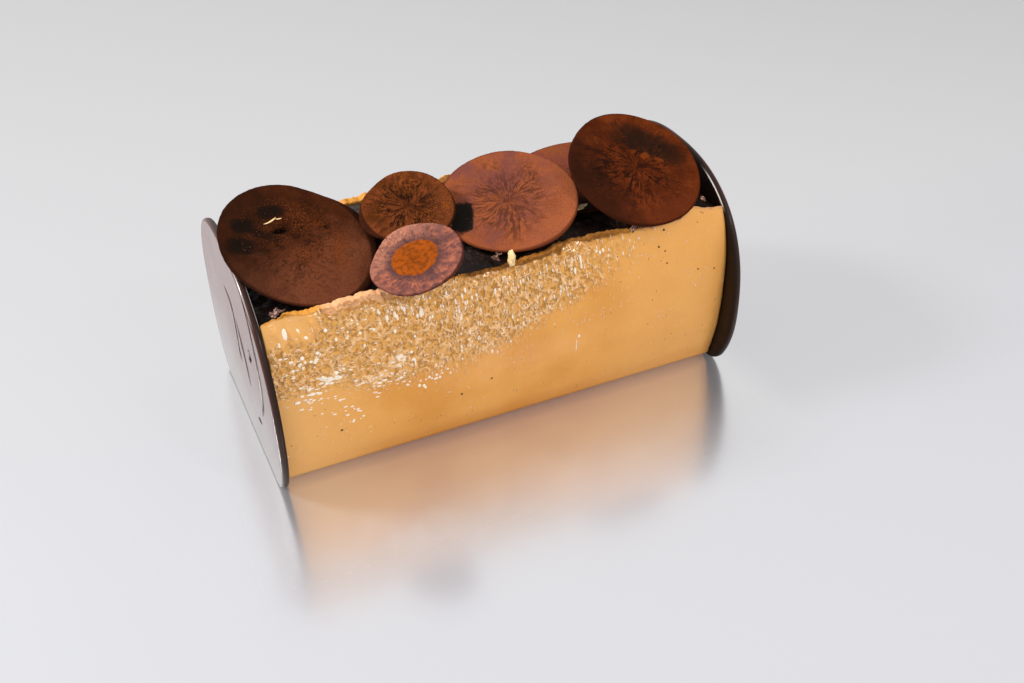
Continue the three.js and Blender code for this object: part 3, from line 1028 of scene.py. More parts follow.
@dataclass(frozen=True)
class WallProfile:
    """Cross-section of the log's wall and the height of its broken rims."""

    half_width: float = 37.2
    widest_height: float = 36.0
    top_reach: float = 43.0
    bottom_reach: float = 58.0
    exponent: float = 2.3
    thickness: float = 2.5
    foot_height: float = 4.5
    foot_half_width: float = 27.5
    rim_slope: float = 1.1
    far_rim_height: float = 56.6
    end: float = LOG_LENGTH / 2 - PLATE_THICKNESS - GAP

    def half_width_at(self, z: np.ndarray) -> np.ndarray:
        """Half the log's width at a height."""
        reach = np.where(z > self.widest_height, self.top_reach, self.bottom_reach)
        share = np.abs((z - self.widest_height) / reach)
        return self.half_width * np.clip(1 - share**self.exponent, 0, 1) ** (1 / self.exponent)

    def near_rim(self, x: np.ndarray) -> np.ndarray:
        """Height of the near rim along the log."""
        places, heights = np.array(NEAR_RIM).T
        i = np.clip(np.searchsorted(places, x) - 1, 0, len(places) - 2)
        t = smoothstep((x - places[i]) / (places[i + 1] - places[i]), 0, 1)
        return heights[i] + (heights[i + 1] - heights[i]) * t + 0.25 * waver(x, 1)

    def far_rim(self, x: np.ndarray) -> np.ndarray:
        """Height of the far rim along the log."""
        return self.far_rim_height + 0.8 * waver(0.45 * x, 4) + 0.25 * waver(x, 2)

    def rim_drop(self, x: np.ndarray) -> np.ndarray:
        """How far the near rim's inner edge lies below its outer edge."""
        sloping = 1 - LEVEL_RIM_LEFT.at(x) - 0.8 * LEVEL_RIM_RIGHT.at(x)
        return self.rim_slope * sloping + 0.3 * np.abs(waver(x, 7))

    def rims(self, x: float) -> tuple[float, float]:
        """Heights of the near and the far rim at one place along the log."""
        return float(self.near_rim(np.array(x))), float(self.far_rim(np.array(x)))

    def wall(
        self, top: float, side: Side, inset: float, z_steps: np.ndarray, corner_steps: int
    ) -> np.ndarray:
        """Points of one wall from its top to the flat underside.

        Args:
            top: Height that the wall starts from.
            side: Near or far wall.
            inset: Distance inside the log's outer face.
            z_steps: Shares of the way down the wall, from 0 to 1.
            corner_steps: Points round the rounded corner at the foot.

        Returns:
            Y and Z of each point.
        """
        foot = self.foot_height + inset
        z = top + (foot - top) * z_steps
        y = self.half_width_at(z) - inset
        turn = np.linspace(0, math.pi / 2, corner_steps + 1)[1:]
        corner_y = self.foot_half_width + (y[-1] - self.foot_half_width) * np.cos(turn)
        corner_z = foot - self.foot_height * np.sin(turn)
        return np.column_stack([side.value * np.r_[y, corner_y], np.r_[z, corner_z]])


@dataclass(frozen=True)
class Swelling:
    """A raised or sunken place on the near wall: middle, reach each way, and height."""

    x: float
    z: float
    reach_x: float
    reach_z: float
    height: float
    lean: float = 0.0  # how far the middle moves along X for each millimetre down

    def at(self, x: np.ndarray, z: np.ndarray) -> np.ndarray:
        """Height of the swelling at a place on the wall."""
        across = (x - self.x - self.lean * (self.z - z)) / self.reach_x
        return self.height * np.exp(-(across**2) - ((z - self.z) / self.reach_z) ** 2)


SWELLINGS = (
    Swelling(21.5, 59.6, 4.6, 1.6, 0.5),
    Swelling(21.5, 57.4, 5.2, 0.7, -0.35),
    Swelling(-72.8, 58.2, 1.2, 2.4, 0.6, 0.35),
    Swelling(-68.6, 56.6, 0.8, 3.0, 0.7, 0.3),
    Swelling(-66.0, 55.2, 0.8, 2.6, 0.6, 0.5),
    Swelling(-61.8, 57.6, 0.8, 3.0, 0.7, 0.1),
    Swelling(-64.5, 58.4, 1.6, 2.0, -0.45),
    Swelling(-70.5, 57.6, 0.8, 2.0, -0.4),
    Swelling(-35.2, 60.6, 2.2, 1.1, 0.45),
    Swelling(-57.0, 59.8, 2.4, 0.8, 0.35),
)


@dataclass(frozen=True)
class WallPoints:
    """Places of the wall's vertices, and the stretch of the outline that each belongs to."""

    x: np.ndarray
    y: np.ndarray
    z: np.ndarray
    stretch: np.ndarray

    def on(self, *names: str) -> np.ndarray:
        """1 for the vertices of these stretches, 0 for the others."""
        return np.isin(self.stretch, names)[None, :] * np.ones_like(self.x)

    @property
    def places(self) -> np.ndarray:
        """The place of each vertex, one row each."""
        return np.stack([self.x, self.y, self.z], -1).reshape(-1, 3)


@dataclass
class CaramelShell:
    """The glazed wall of the log: a trough with broken rims."""

    profile: WallProfile = WallProfile()
    wrinkled_stations: int = 325
    smooth_stations: int = 42
    smooth_from: float = 45.0
    near_steps: int = 112
    low_steps: int = 22
    fine_share: float = 0.77
    far_steps: int = 62
    corner_steps: int = 7
    under_steps: int = 12
    rim_steps: int = 7
    inner_steps: int = 9
    crackle_floor: float = 31.5
    crackle_slope: float = 0.3
    relief: float = 0.5
    far_rim_drop: float = 0.6
    rim_roughness: float = 0.22

    def outline(self, x: float) -> np.ndarray:
        """Closed outline of the wall at one place along the log, as Y and Z."""
        wall = self.profile
        near_top, far_top = wall.rims(x)
        fine = np.linspace(0, self.fine_share, self.near_steps)
        near_down = np.r_[fine, np.linspace(self.fine_share, 1, self.low_steps + 1)[1:]]
        far_down = np.linspace(0, 1, self.far_steps)
        near = wall.wall(near_top, Side.NEAR, 0.0, near_down, self.corner_steps)
        far = wall.wall(far_top, Side.FAR, 0.0, far_down, self.corner_steps)
        under = np.linspace(near[-1], far[-1], self.under_steps + 2)[1:-1]
        inner = np.linspace(0, 1, self.inner_steps)
        drop = float(wall.rim_drop(np.array(x)))
        inner_near = wall.wall(near_top - drop, Side.NEAR, wall.thickness, inner, 2)
        inner_far = wall.wall(far_top - self.far_rim_drop, Side.FAR, wall.thickness, inner, 2)
        far_rim = np.linspace(far[0], inner_far[0], self.rim_steps + 2)[1:-1]
        near_rim = np.linspace(inner_near[0], near[0], self.rim_steps + 2)[1:-1]
        return np.vstack([near, under, far[::-1], far_rim, inner_far, inner_near[::-1], near_rim])

    def _stretches(self) -> np.ndarray:
        """Name of the stretch that each point of the outline belongs to."""
        counts = {
            "near": self.near_steps + self.low_steps + self.corner_steps,
            "under": self.under_steps,
            "far": self.far_steps + self.corner_steps,
            "far_rim": self.rim_steps,
            "inner": 2 * (self.inner_steps + 2),
            "near_rim": self.rim_steps,
        }
        return np.concatenate([[name] * count for name, count in counts.items()])

    def _points(self) -> WallPoints:
        """Every vertex of the wall, before its glaze wrinkles."""
        end = self.profile.end
        smooth = np.linspace(self.smooth_from, end, self.smooth_stations + 1)[1:]
        xs = np.r_[np.linspace(-end, self.smooth_from, self.wrinkled_stations), smooth]
        outlines = np.stack([self.outline(x) for x in xs])
        stretch = self._stretches()
        x = np.repeat(xs[:, None], len(stretch), 1)
        y, z = outlines[..., 0], outlines[..., 1]
        y = y - sum(mark.at(x, z) for mark in SWELLINGS) * (stretch == "near")
        rim = np.isin(stretch, ("near_rim", "far_rim"))
        rim_x = x[:, rim]
        rough = lumps(np.stack([rim_x, y[:, rim], z[:, rim]], -1).reshape(-1, 3), 0.35)
        calmed = 1 - 0.65 * CALM_RIM.at(rim_x)
        z[:, rim] += self.rim_roughness * rough.reshape(rim_x.shape) * calmed
        return WallPoints(x, y, z, stretch)

    def _paint_skin(self, piece: Piece, points: WallPoints) -> None:
        """Marks where the glaze is wrinkled, and where its cells are broad."""
        x, z = points.x, points.z
        skin = points.on("near", "far")
        right, left = np.clip(x + 15, 0, None), 1 - smoothstep(x, -62, -44)
        floor = self.crackle_floor + self.crackle_slope * right + 5.0 * left
        crackle = smoothstep(z - floor, -7.0, 8.0) * (1 - smoothstep(x, 2, 66)) ** 0.75
        ragged = 3.0 * lumps(points.places, 0.22).reshape(x.shape)
        corner = smoothstep(-x + ragged, 56, 66) * smoothstep(z + ragged, 51, 57)
        crackle = crackle * (1 - 0.8 * corner) * smoothstep(z, 2, 14)
        paint(piece, "crackle", crackle * skin)
        paint(piece, "broad", 1 - smoothstep(x, -48, -22))
        paint(piece, "skin", skin * smoothstep(z, 0.5, 6))

    def _paint_rim(self, piece: Piece, points: WallPoints) -> None:
        """Marks the torn band under the near rim, the lip below it, and their colours, amber as
        painted shade.
        """
        x, near = points.x, points.on("near")
        below = self.profile.near_rim(x) - points.z
        cream, shaded_amber, torn = CREAM_RIM.at(x), SHADED_AMBER_RIM.at(x), smoothstep(x, 44, 50)
        flap, notch = np.exp(-(((x - 17.2) / 1.2) ** 2)), np.exp(-(((x - 22.5) / 3.2) ** 2))
        band = 0.15 + 1.3 * cream * (1 + 0.3 * waver(x, 5))
        band = band + shaded_amber * (0.75 + 1.6 * flap - 0.9 * notch)
        band = band + torn * (0.3 + 0.25 * waver(1.7 * x, 6))
        cut = (1 - smoothstep(below, band * 0.8, band * 1.2 + 0.1)) * near
        lip = smoothstep(below, band, band + 0.3) * (1 - smoothstep(below, band + 0.6, band + 1.6))
        inside = points.on("near_rim", "far_rim", "inner")
        paint(piece, "rim", np.clip(inside + cut, 0, 1))
        paint(piece, "lip", lip * (0.8 * cream + 0.35 * shaded_amber) * near)
        # Pale on the torn right rim: partly the cut glaze's own colour, partly painted highlight.
        paint(piece, "pale", PALE_RIM.at(x) + 0.8 * torn)
        paint(piece, "shaded_amber", shaded_amber)

    def blank(self) -> Piece:
        """The wall before its glaze wrinkles, with the numbers that its finish reads."""
        points = self._points()
        piece = new_piece("caramel_blank", points.places, tube(*points.x.shape))
        self._paint_skin(piece, points)
        self._paint_rim(piece, points)
        paint_places(piece, points.places)
        return piece

    def relief_tree(self) -> GrowingTree:
        """Geometry tree that raises the glaze into its wrinkles."""
        sizes = dict.fromkeys(("Height", "Unevenness", "Dimple"), "number")
        tree = GrowingTree("raised_glaze", sizes)
        graph, given = tree.graph, tree.given
        place = graph.held("glaze_place", "FLOAT_VECTOR")
        ridge, _ = glaze_relief(graph, place, graph.held("crackle"), graph.held("broad"))
        broad = graph.sway(place, 0.09) * given["Unevenness"] * 2.0
        dimple = graph.rise(graph.cells(place, 0.28), 0.3, 0.0) * given["Dimple"]
        height = (ridge * given["Height"] + broad + dimple) * graph.held("skin")
        push = graph.wire("GeometryNodeInputNormal") * (height * MM)
        values = {"Geometry": given["Geometry"], "Offset": push}
        tree.close(graph.wire("GeometryNodeSetPosition", values))
        return tree

    def build(self, material: Material) -> Piece:
        """The finished wall, in place of its solid."""
        values = {"Height": self.relief, "Unevenness": 0.2, "Dimple": 0.1, "Finish": material}
        piece = self.relief_tree().grow(self.blank(), "glazed_wall", values)
        return settle(piece, "caramel_glaze", "caramel_shell")


# ---- beads of glaze
# The clustered and faint beads and the drips are painted towards white as glints.
# Clusters of larger beads on the near wall: X and Z of the middle, how many beads, reach each way,
# and half-width and half-height of a bead.
BEAD_CLUSTERS = (
    (-37.5, 41.0, 30, 4.6, 2.2, 0.9, 0.7), (-60.0, 40.5, 22, 3.4, 2.2, 1.15, 0.7),
    (-66.5, 38.0, 16, 4.2, 2.6, 1.0, 0.5), (-48.0, 35.8, 24, 5.4, 1.1, 1.4, 0.45),
    (-41.0, 33.5, 16, 6.0, 1.8, 0.9, 0.42), (-62.0, 33.5, 16, 8.0, 2.4, 0.7, 0.32),
    (-52.0, 27.0, 14, 7.0, 3.0, 0.7, 0.32), (-56.0, 21.5, 7, 7.0, 1.2, 0.5, 0.34),
    (-28.0, 30.0, 14, 5.0, 2.4, 0.5, 0.6), (-37.0, 55.5, 22, 6.0, 3.0, 0.5, 1.1),
    (-28.0, 54.0, 14, 4.0, 3.4, 0.45, 1.2), (-16.0, 53.0, 20, 6.0, 4.0, 0.42, 1.3),
    (-2.0, 54.5, 18, 6.0, 3.0, 0.4, 1.2), (22.0, 56.0, 8, 3.0, 2.6, 0.4, 1.4),
    (30.0, 58.0, 7, 5.0, 0.9, 0.42, 0.8), (12.0, 50.0, 20, 7.0, 5.0, 0.36, 1.1),
    (-14.0, 40.0, 20, 9.0, 5.0, 0.38, 0.8), (6.0, 44.0, 16, 8.0, 5.0, 0.34, 0.8),
    (-66.0, 48.0, 16, 5.0, 2.6, 0.7, 0.7), (-52.0, 52.0, 12, 8.0, 4.0, 0.6, 0.8),
)
FAINT_CLUSTERS = (
    (66.0, 42.0, 12, 5.0, 5.0, 0.24, 0.6), (50.0, 50.0, 14, 9.0, 5.0, 0.22, 0.5),
    (38.0, 40.0, 16, 7.0, 6.0, 0.22, 0.5), (24.0, 36.0, 18, 8.0, 5.0, 0.24, 0.5),
    (0.0, 30.0, 14, 9.0, 4.0, 0.26, 0.34), (-20.0, 24.0, 12, 9.0, 3.0, 0.34, 0.28),
    (-62.0, 17.0, 10, 8.0, 4.0, 0.3, 0.26), (58.0, 30.0, 8, 9.0, 6.0, 0.22, 0.4),
)
# Drips and streaks of glaze, and dark pits in it.
DRIPS = (
    (-70.7, 57.6, 0.8, 1.9), (-72.9, 55.0, 0.4, 0.9), (-66.9, 56.8, 0.7, 1.7),
    (-65.4, 55.1, 1.3, 0.6), (-62.2, 57.4, 0.6, 1.8), (-61.1, 55.4, 0.5, 1.0),
    (22.7, 29.8, 0.45, 0.7), (21.9, 26.2, 0.2, 2.4),
)
DARK_PITS = (
    (-58.2, 18.7, 0.45, 0.4), (-8.0, 22.4, 0.4, 0.35), (-18.3, 19.2, 0.4, 0.4),
    (54.4, 59.2, 0.4, 0.4), (51.9, 54.5, 0.35, 0.4), (54.0, 52.7, 0.28, 0.3),
    (54.5, 48.5, 0.3, 0.28), (66.2, 43.3, 0.28, 0.28), (72.4, 42.0, 0.3, 0.4),
    (34.4, 56.0, 0.28, 0.28), (36.7, 54.8, 0.3, 0.25),
)


def clustered(clusters: Sequence[tuple[float, ...]], seed: int) -> tuple[BeadPlace, ...]:
    """Places and sizes of all the clustered beads."""
    draw = np.random.default_rng(seed)
    beads = []
    for x, z, count, reach_x, reach_z, wide, tall in clusters:
        for _ in range(int(count)):
            size = draw.uniform(0.45, 1.15)
            middle = x + reach_x * draw.normal(0, 0.6), z + reach_z * draw.normal(0, 0.6)
            beads.append((*middle, wide * size, tall * size * draw.uniform(0.7, 1.2)))
    return tuple(beads)


@dataclass
class GlazeBeads:
    """Small half-sunk beads in the glaze, thickest where the wrinkles fade out, painted towards
    white as glints.
    """

    density: float = 0.22  # to a square millimetre
    size: float = 0.5
    seed: int = 11
    bright_seed: int = 5

    def tree(self) -> GrowingTree:
        """Geometry tree that scatters beads over a wall."""
        sizes = {"Density": "number", "Bead Size": "number", "Seed": "whole"}
        tree = GrowingTree("glaze_beads", sizes)
        graph, given = tree.graph, tree.given
        crackle = graph.rise(graph.held("crackle"), 0.0, 0.5, 0.35, 1.0)
        fading = graph.rise(graph.held("crackle"), 0.0, 0.4, 0.06, 1.0)
        cover = graph.held("skin") * fading
        points, rotation = graph.spread(given["Geometry"], given["Density"] * cover, given["Seed"])
        values = {"Rotation": rotation, "Vector": (1.0, 0.0, 0.0)}
        rotation = graph.wire("FunctionNodeAlignRotationToVector", values, axis="X", pivot_axis="Z")
        bead = graph.wire("GeometryNodeMeshUVSphere", {"Segments": 8, "Rings": 4, "Radius": MM})
        bead = graph.wire("GeometryNodeSetShadeSmooth", {"Geometry": bead})
        size = graph.random(0.3, 1.0, given["Seed"])
        width = size * size * given["Bead Size"]
        broad = graph.held("broad")
        along, upright = graph.blend(broad, 0.6, 1.7), graph.blend(broad, 1.7, 0.6)
        scale = graph.joined(along * width, upright * width, width * 0.5)
        beads = graph.scattered(points, bead, rotation, scale)
        # How far each bead is painted towards white, as a painted glint.
        bright = graph.random(0.1, 0.9, self.bright_seed) * crackle
        values = {"Geometry": beads, "Name": "bead", "Value": bright}
        kind = {"data_type": "FLOAT", "domain": "INSTANCE"}
        tree.close(graph.wire("GeometryNodeStoreNamedAttribute", values, **kind))
        return tree

    def build(self, wall: Piece, material: Material) -> Piece:
        """The beads on a finished wall."""
        values = {"Density": self.density, "Bead Size": self.size, "Seed": self.seed}
        values["Finish"] = material
        piece = self.tree().grow(wall, "glaze_beads", values, keep=True)
        return settle(piece, "caramel_glaze")


@dataclass
class PlacedBeads:
    """Rounded beads set at given places on the near wall."""

    name: str
    places: tuple[BeadPlace, ...]
    height: float
    # How far the beads are painted towards white, as painted glints.
    painted_glint: float = 0.9
    profile: WallProfile = WallProfile()
    sides: int = 10
    rings: int = 5

    def _bead(self, x: float, z: float, wide: float, tall: float) -> np.ndarray:
        """Vertices of one bead, in rings from inside the wall to its crown."""
        below, middle, above = self.profile.half_width_at(np.array([z - 0.5, z, z + 0.5]))
        slope = above - below
        out = np.array([0.0, -1.0, -slope]) / math.hypot(1.0, slope)
        down = np.array([0.0, out[2], -out[1]])
        lift = np.linspace(-1, 1, self.rings + 2)[1:-1, None, None]
        turn = np.linspace(0, 2 * math.pi, self.sides, endpoint=False)[None, :, None]
        across = np.array([wide, 0, 0]) * np.cos(turn) + down * tall * np.sin(turn)
        ring = np.array([x, -middle, z]) + across * np.sqrt(1 - lift * lift)
        return (ring + out * self.height * lift).reshape(-1, 3)

    def build(self, material: Material) -> Piece:
        """All the beads as one piece."""
        faces = tube(self.rings, self.sides)
        vertices, faces = gathered([(self._bead(*place), faces) for place in self.places])
        piece = new_piece(self.name, vertices, faces, material)
        paint(piece, "bead", np.full(len(vertices), self.painted_glint))
        paint_places(piece, vertices)
        return settle(outward(piece), "caramel_glaze")


# ---- discs
@dataclass(frozen=True)
class Dent:
    """A dent in a disc's top: middle, half-length, half-width, turn in degrees and depth."""

    x: float
    y: float
    long: float
    wide: float
    turn: float
    depth: float

    def at(self, spots: np.ndarray) -> np.ndarray:
        """Depth of the dent at each place on the disc."""
        along, across = turned(spots[:, 0] - self.x, spots[:, 1] - self.y, self.turn)
        squared = (along / self.long) ** 2 + (across / self.wide) ** 2
        return self.depth * np.exp(-(squared**2)) * (spots[:, 2] > 0)


@dataclass(frozen=True)
class DiscPlace:
    """Where one disc lies: the middle of its thickness, its size and how it tips.

    A lobe is a direction in degrees, how far the edge reaches out there, and its width in degrees.
    """

    node: str
    at: Spot
    radius: float
    tip: float  # degrees from level
    towards: float  # compass direction of the tip in degrees from +X
    wobble: float
    seed: int
    slot: str
    finish: DiscFinish
    lobes: tuple[Spot, ...] = ()
    dents: tuple[Dent, ...] = ()

    @property
    def normal(self) -> Vector:
        """Unit vector out of the disc's top."""
        tip, towards = math.radians(self.tip), math.radians(self.towards)
        level = math.sin(tip)
        return Vector((level * math.cos(towards), level * math.sin(towards), math.cos(tip)))

    @property
    def turn(self) -> Matrix:
        """From level to the way that the disc tips."""
        return Vector((0, 0, 1)).rotation_difference(self.normal).to_matrix().to_4x4()

    @property
    def matrix(self) -> Matrix:
        """From the disc's own flat frame, in metres, to its place on the log."""
        middle = Vector((self.at[0] + RECENTRE, *self.at[1:]))
        return Matrix.Translation(middle * MM) @ self.turn

    def spot(self, x: float, y: float, lift: float) -> Spot:
        """Place in the log's frame of a point over the disc's own X and Y."""
        return tuple(Vector(self.at) + self.turn @ Vector((x, y, lift)))

    def underside(self, x: np.ndarray, y: np.ndarray, clearance: float) -> np.ndarray:
        """Height just below the disc over a place on the log."""
        n = self.normal
        lean = (n.x * (x - self.at[0]) + n.y * (y - self.at[1])) / n.z
        return self.at[2] - lean - clearance / n.z


LOBE_INPUTS = ("First Lobe", "Second Lobe", "Third Lobe")
NO_LOBE = (0.0, 0.0, 30.0)


@dataclass
class DiscMaker:
    """Makes each thin disc with one geometry tree."""

    thickness: float = DISC_THICKNESS
    relief: float = 0.13
    sides: int = 264
    rings: int = 40

    @staticmethod
    def _strayed(graph: Graph, angle: Wire, lobe: Wire) -> Wire:
        """How far one lobe moves the edge in a direction, in degrees."""
        towards, reach, width = graph.split(lobe)
        away = graph.math("WRAP", angle - towards, 180.0, -180.0) / width
        return graph.math("EXPONENT", away * away * -1.0) * reach

    def _reach(self, graph: Graph, given: dict[str, Wire], flat: Wire, radius: Wire) -> Wire:
        """Distance of the uneven edge from the middle, in each direction."""
        x, y, _ = graph.split(flat)
        angle = graph.math("ARCTAN2", y, x)
        broad, narrow = angle * 2.0 + given["Seed"], angle * 5.0 + given["Seed"] * 2.0
        wave = graph.math("SINE", broad) + graph.math("SINE", narrow) * 0.5
        degrees = angle * (180 / math.pi)
        lobes = [self._strayed(graph, degrees, given[name]) for name in LOBE_INPUTS]
        around = flat * 13.0 + graph.joined(0.0, 0.0, given["Seed"])
        nicks = graph.sway(around, 1.0, 4.0, 0.7) * 0.45
        reach = given["Radius"] + wave * given["Wobble"]
        return reach + lobes[0] + lobes[1] + lobes[2] + nicks * radius

    def tree(self) -> GrowingTree:
        """Geometry tree of a thin, slightly uneven disc."""
        sizes = dict.fromkeys(("Radius", "Thickness", "Wobble", "Relief", "Seed"), "number")
        sizes |= {"Sides": "whole", "Rings": "whole"} | dict.fromkeys(LOBE_INPUTS, "vector")
        tree = GrowingTree("thin_disc", sizes)
        graph, given = tree.graph, tree.given
        seed = given["Seed"]
        values = {"Vertices": given["Sides"], "Side Segments": 4, "Fill Segments": given["Rings"]}
        values |= {"Radius": 1.0, "Depth": 1.0}
        blank = graph.wire("GeometryNodeMeshCylinder", values, fill_type="TRIANGLE_FAN")
        x, y, z = graph.split(graph.wire("GeometryNodeInputPosition"))
        flat = graph.joined(x, y)
        radius = graph.vector("LENGTH", flat, "Value")

        high = graph.math("ABSOLUTE", z) * 2.0
        rounding = graph.rise(radius, 0.972, 1.0)
        out = self._reach(graph, given, flat, radius) - rounding * high * high * 0.3
        flat_x, flat_y = x * out, y * out
        body = given["Thickness"] - rounding * 0.25
        rough_place = graph.joined(flat_x, flat_y, seed + z * 9.0)
        rough = graph.clouds(rough_place, 0.75, 4.0, 0.6) - 0.62
        warp = graph.sway(graph.joined(flat_x, flat_y, seed), 0.06, 1.0)
        around = graph.vector("NORMALIZE", flat) * 7.0 + graph.joined(0.0, 0.0, radius * 3.0)
        spokes = (graph.clouds(around, 1.0) - 0.6) * graph.rise(radius, 0.05, 0.3)
        relief = (rough + spokes) * given["Relief"] * graph.math("SIGN", z)
        shaped = graph.joined(flat_x, flat_y, z * body + relief + warp * 0.25) * MM
        values = {"Geometry": blank, "Position": shaped}
        moved = graph.wire("GeometryNodeSetPosition", values)
        own_x, own_y, _ = graph.split(graph.wire("GeometryNodeInputPosition") * (1 / MM))
        own_place = graph.joined(own_x, own_y, seed)
        values = {"Geometry": moved, "Name": "disc_place", "Value": own_place}
        kept = graph.wire("GeometryNodeStoreNamedAttribute", values, data_type="FLOAT_VECTOR")
        tree.close(graph.wire("GeometryNodeSetShadeSmooth", {"Geometry": kept}))
        return tree

    def build(self, places: Sequence[DiscPlace], effects: SurfaceEffects) -> list[Piece]:
        """Every disc in its place, each standing for its solid."""
        tree = self.tree()
        pieces = []
        for place in places:
            values = {
                "Radius": place.radius,
                "Thickness": self.thickness,
                "Wobble": place.wobble,
                "Relief": self.relief,
                "Seed": float(place.seed),
                "Sides": self.sides,
                "Rings": self.rings,
                "Finish": place.finish.dress(effects),
            }
            values |= dict(zip(LOBE_INPUTS, place.lobes + (NO_LOBE,) * 3))
            start = new_piece("disc_blank", np.zeros((1, 3)), [])
            piece = tree.grow(start, place.node.replace("disc_", "chocolate_disc_"), values)
            self.dent(piece, place.dents)
            piece.data.transform(place.matrix)
            pieces.append(settle(piece, place.slot, place.node))
        return pieces

    @staticmethod
    def dent(piece: Piece, dents: Sequence[Dent]) -> None:
        """Presses a disc's dents and marks them, for its finish to darken as painted shade."""
        spots = np.empty(len(piece.data.vertices) * 3, np.float32)
        piece.data.vertices.foreach_get("co", spots)
        spots = spots.reshape(-1, 3) / MM
        depth = sum((dent.at(spots) for dent in dents), np.zeros(len(spots)))
        spots[:, 2] -= depth
        piece.data.vertices.foreach_set("co", (spots * MM).astype(np.float32).ravel())
        paint(piece, "dent", np.clip(depth * 2.2, 0, 1))
        piece.data.update()


# ---- end plates
@dataclass(frozen=True)
class Groove:
    """One broken groove, as on cut wood: greatest width, and the points it passes through."""

    width: float
    through: tuple[tuple[float, float], ...]

    def line(self, steps: int = 48) -> np.ndarray:
        """Smooth line through the groove's points.

        Args:
            steps: Number of points on the line.

        Returns:
            Y and Z of each point.
        """
        points = np.array(self.through, float)
        padded = np.vstack([2 * points[0] - points[1], points, 2 * points[-1] - points[-2]])
        spans = len(points) - 1
        t = np.linspace(0, spans, steps)
        i = np.minimum(t.astype(int), spans - 1)
        s = (t - i)[:, None]
        a, b, c, d = (padded[i + k] for k in range(4))
        square, cube = 2 * a - 5 * b + 4 * c - d, 3 * b - a - 3 * c + d
        return 0.5 * (2 * b + (c - a) * s + square * s**2 + cube * s**3)


GROOVES = (
    Groove(1.6, ((6, 52.9), (-1.1, 50.7), (-2.3, 45), (-1.9, 33.7), (-3.2, 29.4))),
    Groove(1.7, ((-5.2, 47.6), (-9.7, 37.6), (-12.4, 26.2))),
    Groove(2.4, ((-21.8, 45.6), (-19.3, 41.2))),
    Groove(
        1.6,
        ((-23.5, 67.1), (-27.4, 62.1), (-30.2, 51.9), (-31.3, 42.2), (-29.6, 31.6), (-25.6, 24.1)),
    ),
    Groove(1.1, ((-16.6, 16.1), (-21, 17.4))),
)


INNER_GLINT = Stretch(59.5, 62.5, 67, 69.5)  # heights on the plate's inner edge


class End(Enum):
    """Which end of the log, as the sign of its X."""

    LEFT = -1
    RIGHT = 1


